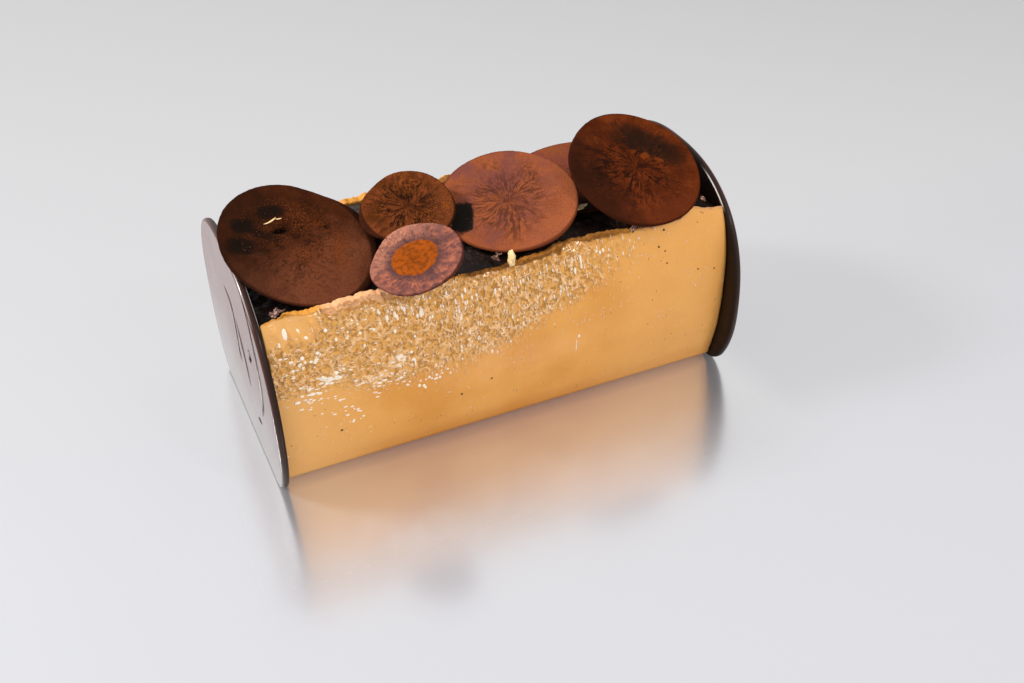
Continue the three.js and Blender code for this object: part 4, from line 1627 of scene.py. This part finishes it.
@dataclass
class EndPlate:
    """A chocolate plate that closes one end of the log."""

    name: str
    node: str
    end: End
    half_width: float = 44.0
    widest_height: float = 27.0
    top_rise: float = 44.6
    bottom_reach: float = 41.1
    top_exponent: float = 2.42
    bottom_exponent: float = 2.19
    thickness: float = PLATE_THICKNESS
    edge_round: float = 0.9
    foot_height: float = 5.0
    foot_half_width: float = 29.5
    middle_height: float = 34.0
    sides: int = 440
    rings: int = 126
    plain_rings: int = 14
    edge_steps: int = 8
    groove_depth: float = 0.5
    groove_margin: float = 3.0
    edge_polish: float = 0.55

    def outline(self) -> np.ndarray:
        """Outline of the plate as evenly spaced Y and Z, counterclockwise seen from +X."""
        turn = np.linspace(0, math.pi, 240)
        across = np.sign(np.cos(turn)) * np.abs(np.cos(turn)) ** (2 / self.top_exponent)
        rise = np.sin(turn).clip(0) ** (2 / self.top_exponent)
        top = np.column_stack([self.half_width * across, self.widest_height + self.top_rise * rise])
        z = np.linspace(self.foot_height, self.widest_height, 40)[:-1]
        t = np.linspace(0, 1, 16)[:-1]
        bend = 2 * t * (1 - t) * self._lower(0.0) + t**2 * self._lower(self.foot_height)
        corner_y = (1 - t) ** 2 * self.foot_half_width + bend
        corner = np.column_stack([corner_y, t**2 * self.foot_height])
        right = np.vstack([corner, np.column_stack([self._lower(z), z])])
        loop = np.vstack([right, top, right[::-1] * [-1, 1], right[:1]])
        steps = np.r_[0, np.cumsum(np.linalg.norm(np.diff(loop, axis=0), axis=1))]
        even = np.linspace(0, steps[-1], self.sides, endpoint=False)
        return np.column_stack([np.interp(even, steps, loop[:, k]) for k in (0, 1)])

    def _lower(self, z: Union[float, np.ndarray]) -> np.ndarray:
        """Half-width of the plate below its widest height."""
        depth = (self.widest_height - np.asarray(z, float)) / self.bottom_reach
        return self.half_width * (1 - depth**self.bottom_exponent) ** (1 / self.bottom_exponent)

    def groove_at(self, places: np.ndarray) -> np.ndarray:
        """How deep the grooves are at each place, as a share from 0 to 1.

        Args:
            places: Y and Z, one row each.

        Returns:
            The share for each place, with a low lip beside a groove below 0.
        """
        share = np.zeros(len(places))
        for groove in GROOVES:
            line = groove.line()
            taper = np.sqrt(np.sin(np.pi * np.linspace(0, 1, len(line)))).clip(0.12)
            above = (places > line.min(0) - self.groove_margin).all(1)
            below = (places < line.max(0) + self.groove_margin).all(1)
            near = np.where(above & below)[0]
            half = 0.5 * groove.width * taper
            gap = np.linalg.norm(places[near][:, None] - line[None], axis=2) / half[None]
            closest = gap.min(1)
            cut = np.clip(1.7 - closest**2 * 0.8, 0, 1)
            lip = -0.16 * np.exp(-((closest - 2.1) ** 2) * 4)
            share[near] = np.where(cut > share[near], cut, share[near] + np.where(cut > 0, 0, lip))
        return share

    def _rings(self) -> tuple[np.ndarray, np.ndarray, np.ndarray]:
        """Rings of points, from the outer face's middle over the edge to the inner face's.

        Returns:
            Y and Z of each ring's points, the ring's depth inside the outer face, and its polish.
        """
        outline = self.outline()
        ahead = np.roll(outline, -1, 0) - np.roll(outline, 1, 0)
        out = np.column_stack([ahead[:, 1], -ahead[:, 0]]) / np.linalg.norm(ahead, axis=1)[:, None]
        middle = np.array([0.0, self.middle_height])
        face_edge = outline - out * self.edge_round
        rings = []
        for share in np.linspace(0, 1, self.rings + 1)[1:]:
            rings.append((middle + share * (face_edge - middle), 0.0, 1.0))
        for turn in np.linspace(0, math.pi, self.edge_steps + 2)[1:-1]:
            edge = face_edge + out * self.edge_round * math.sin(turn)
            depth = self.thickness / 2 * (1 - math.cos(turn))
            rings.append((edge, depth, self.edge_polish * math.cos(turn / 2) ** 4))
        for share in np.linspace(1, 0, self.plain_rings + 1)[:-1]:
            rings.append((middle + share * (face_edge - middle), self.thickness, 0.0))
        flat, depths, polish = zip(*rings)
        return np.stack(flat), np.array(depths), np.array(polish)

    def _glint(self, flat: np.ndarray) -> np.ndarray:
        """Where light catches the inner and the outer edge, on the near side's upper half."""
        glint = np.zeros(flat.shape[:2])
        near = smoothstep(-flat[..., 0], 2, 12)
        inner, outer = self.rings + self.edge_steps - 1, self.rings + 1
        glint[inner] = INNER_GLINT.at(flat[inner, :, 1]) * near[inner]
        glint[outer] = 0.35 * smoothstep(flat[outer, :, 1], 60, 65) * near[outer]
        return glint

    def build(self, material: Material) -> Piece:
        """The finished plate, in place of its solid."""
        flat, depths, polish = self._rings()
        face = flat[: self.rings]
        cut = np.zeros(flat.shape[:2])
        cut[: self.rings] = self.groove_at(face.reshape(-1, 2)).reshape(face.shape[:2])
        outer, inner = LOG_LENGTH / 2, LOG_LENGTH / 2 - self.thickness
        x = self.end.value * (outer - (depths[:, None] + self.groove_depth * cut))
        vertices = np.concatenate([x[..., None], flat], -1).reshape(-1, 3)
        middles = [[self.end.value * reach, 0.0, self.middle_height] for reach in (outer, inner)]
        count, last = len(vertices), (len(flat) - 1) * self.sides
        faces = quads(len(flat), self.sides)
        for j in range(self.sides):
            k = (j + 1) % self.sides
            faces += [[count, k, j], [count + 1, last + j, last + k]]
        if self.end is End.RIGHT:
            faces = [face[::-1] for face in faces]
        piece = new_piece(self.name, np.vstack([vertices, middles]), faces, material)
        paint(piece, "groove", np.r_[np.clip(cut.ravel(), 0, 1), 0, 0])
        paint(piece, "glint", np.r_[self._glint(flat).ravel(), 0, 0])
        paint(piece, "polish", np.r_[np.repeat(polish, self.sides), 1, 0])
        return settle(piece, "gloss_chocolate", self.node)


# ---- filling
@dataclass
class Filling:
    """Dark chocolate filling inside the log."""

    profile: WallProfile = WallProfile()
    stations: int = 240
    across: int = 110
    side_steps: int = 14
    near_drop: float = 3.2
    far_drop: float = 1.2
    crown: float = 61.6
    dab_radius: float = 9.0
    grain: float = 0.55

    def top(
        self,
        x: np.ndarray,
        y: np.ndarray,
        near: np.ndarray,
        far: np.ndarray,
        discs: Sequence[DiscPlace],
    ) -> np.ndarray:
        """Height of the filling's top.

        Args:
            x: Places along the log.
            y: Places across it.
            near: Y and Z of the near edge at each place.
            far: Y and Z of the far edge at each place.
            discs: The discs that the filling carries and stays below.

        Returns:
            The height at each place.
        """
        share = (y - near[0]) / (far[0] - near[0])
        edge = near[1] + (far[1] - near[1]) * share
        arch = np.sin(math.pi * share)
        height = edge + (self.crown - edge) * arch + 0.7 * waver(0.5 * x + 0.31 * y, 3) * arch
        fade = smoothstep(np.minimum(share, 1 - share), 0.03, 0.2)
        for disc in discs:
            reach = np.hypot(x - disc.at[0], y - disc.at[1]) / self.dab_radius
            height = height + np.clip(disc.at[2] + 1 - height, 0, None) * np.exp(-(reach**2)) * fade
        grain = lumps(np.stack([x, y, 0 * x], -1).reshape(-1, 3), 0.35, 3).reshape(x.shape)
        height = height + self.grain * grain * smoothstep(np.minimum(share, 1 - share), 0.0, 0.04)
        for disc in discs:
            distance = np.hypot(x - disc.at[0], y - disc.at[1])
            under = disc.underside(x, y, DISC_THICKNESS / 2 + GAP + 0.1)
            height = np.where(distance < disc.radius + 4, np.minimum(height, under), height)
        return height

    def build(self, discs: Sequence[DiscPlace], material: Material) -> Piece:
        """The finished filling, in place of its solid."""
        wall = self.profile
        inset = wall.thickness + GAP
        down = np.linspace(0, 1, self.side_steps)
        xs = np.linspace(-wall.end, wall.end, self.stations)
        sides = []
        for x in xs:
            near_top, far_top = wall.rims(x)
            near = wall.wall(near_top - self.near_drop, Side.NEAR, inset, down, 3)
            far = wall.wall(far_top - self.far_drop, Side.FAR, inset, down, 3)
            sides.append(np.vstack([near, far[::-1]]))
        sides = np.stack(sides)
        share = np.linspace(1, 0, self.across + 2)[1:-1][None]
        near = sides[:, 0, :].T[..., None]
        far = sides[:, -1, :].T[..., None]
        y = near[0] + (far[0] - near[0]) * share
        x = np.repeat(xs[:, None], self.across, 1)
        z = self.top(x, y, near, far, discs)
        outlines = np.concatenate([sides, np.stack([y, z], -1)], 1)
        columns = outlines.shape[1]
        stations = np.repeat(xs[:, None], columns, 1)[..., None]
        vertices = np.concatenate([stations, outlines], -1).reshape(-1, 3)
        piece = new_piece("dark_filling", vertices, tube(len(xs), columns), material)
        return settle(piece, "dark_filling", "chocolate_filling")


# ---- flakes and grains
@dataclass(frozen=True)
class Shard:
    """A thin bent shaving: middle, length, width, thickness, bend and turns in degrees."""

    at: Spot
    length: float
    width: float
    thick: float
    bend: float
    turn: float
    tilt: float
    seed: int
    rise: float = 0.0

    def mesh(self, along_steps: int = 14, round_steps: int = 12) -> tuple[np.ndarray, Faces]:
        """Vertices in millimetres and faces of the shard."""
        t = np.linspace(-0.5, 0.5, along_steps)
        bend = math.radians(self.bend)
        arm = self.length / bend
        spine = np.column_stack([arm * np.sin(t * bend), 0 * t, arm * (1 - np.cos(t * bend))])
        taper = np.clip(1 - np.abs(2 * t) ** 3, 0.12, 1)
        turn = np.linspace(0, 2 * math.pi, round_steps, endpoint=False)
        level, upright = (np.sign(w) * np.abs(w) ** 0.6 for w in (np.cos(turn), np.sin(turn)))
        rows = []
        for middle, lean, share in zip(spine, t * bend, taper):
            up = np.array([-math.sin(lean), 0, math.cos(lean)])
            ring_y, ring_up = level * self.width / 2 * share, upright * self.thick / 2 * share
            rows.append(middle + ring_y[:, None] * [0, 1, 0] + ring_up[:, None] * up)
        points = np.vstack(rows)
        rough = lumps(points + self.seed * 7.3, 0.9, 3)
        centre = np.repeat(spine, round_steps, 0)
        points = centre + (points - centre) * (1 + 0.45 * rough[:, None])
        placed = (
            Matrix.Rotation(math.radians(self.turn), 4, "Z")
            @ Matrix.Rotation(math.radians(-self.rise), 4, "Y")
            @ Matrix.Rotation(math.radians(self.tilt), 4, "X")
        )
        points = np.array([placed @ Vector(p) for p in points]) + self.at
        return points, [face[::-1] for face in tube(along_steps, round_steps)]


class Crumb(Enum):
    """What loose flakes are broken from."""

    # The pale pinkish specks of broken chocolate are painted highlight.
    CHOCOLATE = CrumbFinish("broken_chocolate", "55301f", "c8a090", 0.35)
    GLAZE = CrumbFinish("broken_glaze", "efc88a", "f6dcae", 0.4)
    PALE_CHOCOLATE = CrumbFinish("pale_chocolate", "9a8660", "c8b48c", 0.4)


@dataclass
class FlakeCluster:
    """Loose broken chocolate or glaze made of a few shards."""

    name: str
    crumb: Crumb
    slot: str
    nodes: tuple[str, ...]
    shards: tuple[Shard, ...]

    def build(self, material: Material) -> Piece:
        """The finished flakes, in place of their solid where they have one."""
        vertices, faces = gathered([shard.mesh() for shard in self.shards])
        piece = outward(new_piece(self.name, vertices, faces, material))
        return settle(piece, self.slot, *self.nodes)


@dataclass
class CocoaGrains:
    """Fine dry grains lying on a disc."""

    size: float = 0.24
    seed: int = 5

    def tree(self) -> GrowingTree:
        """Geometry tree that scatters grains over upward faces."""
        sizes = {"Density": "number", "Grain Size": "number", "Reach": "number", "Seed": "whole"}
        tree = GrowingTree("cocoa_grains", sizes)
        graph, given = tree.graph, tree.given
        facing = graph.split(graph.wire("GeometryNodeInputNormal"))[2]
        x, y, _ = graph.split(graph.held("disc_place", "FLOAT_VECTOR"))
        flat = graph.joined(x, y)
        radius = graph.vector("LENGTH", flat, "Value")
        patch = graph.rise(graph.clouds(flat, 0.16, 3.0), 0.42, 0.6)
        within = graph.rise(radius, given["Reach"], given["Reach"] * 0.6)
        cover = graph.rise(facing, 0.4, 0.6) * patch * within
        points, rotation = graph.spread(given["Geometry"], given["Density"] * cover, given["Seed"])
        grain = graph.wire("GeometryNodeMeshIcoSphere", {"Radius": 0.5 * MM, "Subdivisions": 1})
        width = graph.random(0.4, 1.3, given["Seed"]) * given["Grain Size"]
        scale = graph.joined(width, width * 0.7, width * 0.6)
        tree.close(graph.scattered(points, grain, rotation, scale))
        return tree

    def build(
        self,
        discs: Sequence[Piece],
        amounts: dict[str, tuple[float, float]],
        material: Material,
    ) -> None:
        """Grains on each disc that has them.

        Args:
            discs: The finished discs.
            amounts: Density and reach in millimetres, by the disc's name.
            material: Finish of the grains.
        """
        tree = self.tree()
        values = {"Grain Size": self.size, "Seed": self.seed, "Finish": material}
        for disc in (d for d in discs if d.name in amounts):
            values["Density"], values["Reach"] = amounts[disc.name]
            name = disc.name.replace("chocolate_disc", "cocoa_grains")
            settle(tree.grow(disc, name, values, keep=True), "flake")


# ---- studio
LIT_MIDDLE = (0.0, 0.0, 0.035)  # the middle of the cake, in metres


@dataclass(frozen=True)
class SoftLight:
    """A square soft light: direction from the cake, distance and size in metres, and power."""

    name: str
    direction: Spot
    distance: float
    size: float
    power: float

    def build(self) -> None:
        """The light, aimed at the middle of the cake."""
        data = bpy.data.lights.new(self.name, "AREA")
        data.shape = "SQUARE"
        data.size = self.size
        data.energy = self.power
        light = linked(self.name, data)
        aim = Vector(self.direction).normalized()
        light.location = Vector(LIT_MIDDLE) + aim * self.distance
        light.rotation_mode = "QUATERNION"
        light.rotation_quaternion = aim.to_track_quat("Z", "Y")


@dataclass
class Studio:
    """Pale glossy table, soft lights and the camera."""

    camera_at: Spot = (-121.81, -312.83, 262.06)
    camera_right: Spot = (0.91144459, -0.41125684, -0.01168606)
    camera_up: Spot = (0.25595967, 0.54457303, 0.79870198)
    lens: float = 42.197
    table_half: float = 2500.0
    table_level: float = -0.04
    # Diffuse colour near the camera and far off; darker far off as painted shade of light falling
    # off.
    table_near: str = "86868c"
    table_far: str = "4a4444"
    table_mirror: float = 0.66
    near_mirror: float = 0.36
    far_mirror: float = 0.56
    table_glow: float = 0.09
    ambient: float = 0.82
    lights: tuple[SoftLight, ...] = (
        SoftLight("window", (-0.73, 0.33, 0.60), 1.1, 0.22, 14.3),
        SoftLight("front", (0.32, -0.69, 0.62), 1.3, 0.22, 4.6),
    )

    def _table_finish(self) -> Material:
        """Pale gloss that mirrors less beside the cake and in front of it, and glows there as
        painted light; it darkens away as painted shade.
        """
        material, graph = new_material("pale_table")
        x, y, _ = graph.split(graph.wire("ShaderNodeTexCoord", output="Object"))
        left, right = graph.rise(x, -0.079, -0.1), graph.rise(x, 0.076, 0.094)
        beside = (left + right) * graph.rise(y, 0.06, -0.03)
        nearer = graph.math("MAXIMUM", graph.rise(y, -0.046, -0.088), beside)
        # Darker away from the camera and to the right: painted shade.
        away = graph.rise(x * 0.5 + y, -0.15, 0.5)
        colour = graph.tint(away, tone(self.table_near), tone(self.table_far))
        diffuse = graph.wire("ShaderNodeBsdfDiffuse", {"Color": colour})
        values = {"Color": tone("ffffff"), "Roughness": 0.2}
        mirror = graph.wire("ShaderNodeBsdfAnisotropic", values)
        near_glow = self.table_glow + 0.48 * (self.table_mirror - self.near_mirror)
        strength = graph.blend(nearer, self.table_glow, near_glow)
        glow = graph.wire("ShaderNodeEmission", {"Color": tone("f4f4f8"), "Strength": strength})
        distant = graph.rise(x * 0.8 + y * 0.5, 0.05, 0.5, self.table_mirror, self.far_mirror)
        share = graph.blend(nearer, distant, self.near_mirror)
        mix = graph.wire("ShaderNodeMixShader", {0: share, 1: diffuse, 2: mirror})
        mix = graph.wire("ShaderNodeAddShader", {0: mix, 1: glow})
        graph.add("ShaderNodeOutputMaterial", {"Surface": mix})
        return material

    def table(self) -> None:
        """The table top, which isn't part of the cake."""
        half = self.table_half
        corners = [(-half, -half), (half, -half), (half, half), (-half, half)]
        places = np.array([(x, y, self.table_level) for x, y in corners])
        table = new_piece("table_top", places, [[0, 1, 2, 3]], self._table_finish())

    def surroundings(self) -> None:
        """Even pale light from all round."""
        world = bpy.data.worlds.new("surroundings")
        world.use_nodes = True
        background = world.node_tree.nodes["Background"]
        background.inputs["Color"].default_value = tone("ffffff")
        background.inputs["Strength"].default_value = self.ambient
        bpy.context.scene.world = world

    def camera(self) -> None:
        """The camera, held a little above the cake's left end."""
        data = bpy.data.cameras.new("camera")
        data.sensor_width = 36.0
        data.lens = self.lens
        data.clip_start = 0.01
        camera = linked("camera", data)
        right, up = Vector(self.camera_right).normalized(), Vector(self.camera_up).normalized()
        turn = Matrix((right, up, right.cross(up))).transposed().to_4x4()
        camera.matrix_world = Matrix.Translation(Vector(self.camera_at) * MM) @ turn
        bpy.context.scene.camera = camera

    def build(self) -> None:
        """Everything round the cake."""
        self.table()
        self.surroundings()
        for light in self.lights:
            light.build()
        self.camera()
        bpy.context.scene.view_settings.view_transform = "Standard"


# ---- the cake's own sizes
# The left dark disc's lighter lower side is painted light, a broad sheen of the front lamp.
LEFT_DARK = DiscFinish(
    "left_dark_chocolate",
    base="48220f", shade="36190c", bright="6c3b26", dark="20120a",
    vein="1c0f0a", speck="763a16", edge="241009",
    radius=23.6, bright_towards=(0.35, -1.0), bright_amount=1.0, bright_from=-0.3, bright_to=0.5,
    dark_towards=(-1.0, 0.15), dark_amount=0.5, dark_from=0.0, dark_to=0.55,
    stroke_count=9.0, stroke_amount=0.45, stroke_reach=1.0, blot_amount=0.6,
    speck_cover=0.7, speck_amount=0.7, speck_reach=0.95, speck_towards=(0.8, -0.1), patch=0.2,
    stains_and_shadows=(
        StainOrShadow(-5.2, 12.0, 4.4, 2.2, 10.0, "15100c", 0.85, 0.6),
        StainOrShadow(-14.8, 7.0, 3.6, 2.6, 0.0, "15100c", 0.85, 0.6),
        StainOrShadow(-17.6, -0.6, 4.0, 3.0, -10.0, "15100c", 0.85, 0.6),
        StainOrShadow(-9.0, 3.2, 4.0, 1.6, -20.0, "15100c", 0.7, 0.6),
    ),
)
SMALL_DARK = DiscFinish(
    "small_dark_chocolate",
    base="743a1c", shade="50280f", bright="80432a", dark="26140c",
    vein="1e0f09", speck="8e4a1a", edge="2a140c",
    radius=14.7, bright_towards=(0.6, -0.4), bright_amount=0.3,
    stroke_count=8.0, stroke_amount=0.95, stroke_reach=1.1, blot_amount=0.8,
    speck_cover=0.55, speck_amount=0.6, patch=0.22,
)
SMALL_ROSE = DiscFinish(
    "small_rose_chocolate",
    base="a4604a", shade="64403e", bright="c6866a", dark="54342f",
    vein="4c3434", speck="7e3c10", edge="40201a",
    radius=14.6, bright_towards=(-0.2, 0.8), bright_amount=0.6,
    stroke_count=12.0, stroke_shortness=0.5, stroke_amount=0.6, stroke_reach=1.4, blot_amount=0.8,
    speck_cover=0.25, speck_amount=0.25, patch=0.34, spot="9c4a10", spot_radius=7.2,
)
MIDDLE_MILK = DiscFinish(
    "middle_milk_chocolate",
    base="904c2c", shade="744036", bright="a25830", dark="5e3222",
    vein="40241c", speck="6e3212", edge="5c2c18",
    radius=22.4, bright_towards=(0.8, -0.7), bright_amount=0.6,
    stroke_count=10.0, stroke_shortness=0.24, stroke_amount=0.8, stroke_reach=0.95, blot_amount=0.8,
    speck_cover=0.5, speck_amount=0.6, speck_towards=(-0.4, -1.0),
    # The dark place beside the small dark disc is a painted shadow of that disc.
    stains_and_shadows=(StainOrShadow(-16.7, -0.6, 3.6, 6.4, -21.0, "1c1714"),),
)
# The back disc's near half is darkened as painted shadow, where the discs in front shade it.
BACK_MILK = DiscFinish(
    "back_milk_chocolate",
    base="864728", shade="7c4030", bright="8e4a28", dark="1c110c",
    vein="48281e", speck="743514", edge="2c160e",
    radius=22.9, dark_towards=(0.0, -1.0), dark_amount=0.97,
    stroke_count=14.0, stroke_amount=0.55, stroke_reach=0.8, blot_amount=0.25, speck_cover=0.3,
)
RIGHT_DARK = DiscFinish(
    "right_dark_chocolate",
    base="6a2e10", shade="4a1e0b", bright="662d16", dark="1a0f0a",
    vein="140b08", speck="94400e", edge="30140a",
    radius=22.6, bright_towards=(-0.3, -1.0), bright_amount=0.6,
    dark_towards=(-1.0, -0.1), dark_amount=0.75,
    stroke_count=7.0, stroke_shortness=0.16, stroke_amount=0.75, stroke_reach=1.0, blot_amount=0.7,
    speck_cover=0.35, speck_amount=0.65, speck_towards=(0.6, 0.7),
    stains_and_shadows=(
        StainOrShadow(8.5, 8.0, 12.0, 5.0, -40.0, "20150e", 0.8, 0.7),
        StainOrShadow(5.2, 3.8, 1.5, 1.1, 20.0, "783611", 0.7, 0.6),
        StainOrShadow(9.5, 1.4, 1.5, 0.8, -30.0, "783611", 0.6, 0.6),
        StainOrShadow(2.0, 6.2, 0.8, 0.7, 0.0, "783611", 0.5, 0.6),
    ),
)

DISCS = (
    DiscPlace(
        "disc_left_dark", (-57.95, -7.1, 69.65), 23.6, 26.8, -57, 0.15, 1, "dark_disc", LEFT_DARK,
        lobes=((12.0, 2.6, 30.0), (60.0, -1.2, 22.0), (-45.0, 1.9, 14.0)),
        dents=(Dent(-4.2, 4.6, 2.7, 1.1, 12, 0.5), Dent(11.0, 5.8, 1.0, 0.8, 0, 0.35)),
    ),
    DiscPlace(
        "disc_small_dark", (-20.7, -2.5, 70.5), 14.7, 22.4, -97, 0.3, 2, "dark_disc", SMALL_DARK,
        lobes=((122.0, -1.6, 28.0), (-165.0, 1.4, 22.0)),
    ),
    DiscPlace(
        "disc_small_rose", (-27.8, -28.1, 68.3), 14.6, 18.7, -155, 0.35, 3, "rose_disc", SMALL_ROSE,
        lobes=((140.0, -1.4, 30.0),),
    ),
    DiscPlace(
        "disc_middle_milk", (11.45, -7.95, 67.7), 22.4, 15.4, -121, 0.3, 4, "milk_disc", MIDDLE_MILK
    ),
    DiscPlace("disc_flat_back", (41.5, 3.6, 63.4), 22.9, 4.4, 170, 0.3, 5, "milk_disc", BACK_MILK),
    DiscPlace(
        "disc_right_dark", (52.8, -15.5, 73.1), 22.6, 26.3, -81, 0.3, 6, "dark_disc", RIGHT_DARK,
        lobes=((48.0, -0.7, 30.0),),
    ),
)

FLAKES = (
    FlakeCluster(
        "broken_flakes_left", Crumb.CHOCOLATE, "flake", ("flake_left",),
        (
            Shard((-72.4, -30.8, 63.2), 3.6, 1.9, 0.7, 120, 25, 20, 1),
            Shard((-70.0, -30.4, 63.5), 3.2, 1.7, 0.6, 150, -30, -25, 2),
            Shard((-71.2, -30.0, 63.4), 2.8, 1.5, 0.9, 60, 80, 10, 3, rise=25),
        ),
    ),
    FlakeCluster(
        "broken_flakes_middle", Crumb.CHOCOLATE, "flake", ("flake_middle",),
        (
            Shard((-3.0, -29.2, 62.4), 2.6, 1.4, 0.6, 90, 20, 20, 4),
            Shard((-1.4, -28.8, 62.9), 2.4, 1.2, 0.6, 130, -50, -20, 5),
            Shard((-2.2, -29.6, 61.9), 2.8, 1.3, 0.8, 40, 70, 30, 6),
        ),
    ),
    FlakeCluster(
        "pale_chip", Crumb.GLAZE, "pale_chip", ("chip_pale",),
        (Shard((0.9, -33.5, 63.6), 6.0, 3.1, 1.6, 15, 10, 0, 7, rise=82),),
    ),
    FlakeCluster(
        "broken_flakes_right_middle", Crumb.CHOCOLATE, "flake", ("flake_centre_right",),
        (
            Shard((43.2, -32.9, 62.9), 3.4, 1.4, 0.7, 60, 35, 30, 8, rise=55),
            Shard((45.2, -32.7, 62.4), 2.8, 1.4, 0.6, 60, -30, -30, 9, rise=20),
        ),
    ),
    FlakeCluster(
        "broken_flake_right", Crumb.CHOCOLATE, "flake", ("flake_right",),
        (Shard((69.8, -30.4, 65.5), 3.2, 1.5, 0.9, 30, 90, 90, 10),),
    ),
    FlakeCluster(
        "fallen_shaving", Crumb.PALE_CHOCOLATE, "milk_disc", (),
        (Shard((31.0, -19.4, 66.2), 6.0, 1.6, 0.5, 50, 10, 30, 13),),
    ),
    FlakeCluster(
        "torn_curl", Crumb.GLAZE, "pale_chip", (),
        (
            Shard(DISCS[0].spot(-6.6, 7.7, 1.2), 5.2, 0.5, 0.25, 40, 28, 0, 11),
            Shard(DISCS[0].spot(-3.6, 8.9, 1.0), 2.2, 0.45, 0.25, 50, -10, 0, 12),
        ),
    ),
)

# Density and reach in millimetres of the grains on a disc.
GRAIN_AMOUNTS = {
    "chocolate_disc_left_dark": (0.9, 22.0),
    "chocolate_disc_small_dark": (0.8, 14.0),
    "chocolate_disc_middle_milk": (0.25, 20.0),
    "chocolate_disc_right_dark": (0.25, 20.0),
}


def main() -> None:
    """Builds the cake piece by piece, then the studio."""
    logging.basicConfig(level=logging.INFO, format="%(name)s %(message)s")
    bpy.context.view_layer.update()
    effects = SurfaceEffects()
    caramel = CaramelFinish().dress(effects)
    pit = CrumbFinish("pit_brown", "4a2508", "7a4616", 0.6).dress(effects)
    gloss = GlossFinish().dress(effects)
    wall = CaramelShell().build(caramel)
    GlazeBeads().build(wall, caramel)
    PlacedBeads("large_beads", clustered(BEAD_CLUSTERS, 7) + DRIPS, 0.3).build(caramel)
    PlacedBeads("faint_beads", clustered(FAINT_CLUSTERS, 19), 0.22, 0.35).build(caramel)
    PlacedBeads("dark_pits", DARK_PITS, 0.25).build(pit)
    Filling().build(DISCS, FillingFinish().dress(effects))
    EndPlate("left_plate", "end_plate_left", End.LEFT).build(gloss)
    EndPlate("right_plate", "end_plate_right", End.RIGHT).build(gloss)
    discs = DiscMaker().build(DISCS, effects)
    cocoa = CrumbFinish("cocoa_grain", "6e3314", "9a5020", 0.8).dress(effects)
    CocoaGrains().build(discs, GRAIN_AMOUNTS, cocoa)
    crumbs = {crumb: crumb.value.dress(effects) for crumb in Crumb}
    for cluster in FLAKES:
        cluster.build(crumbs[cluster.crumb])
    Studio().build()


if __name__ == "__main__":
    main()
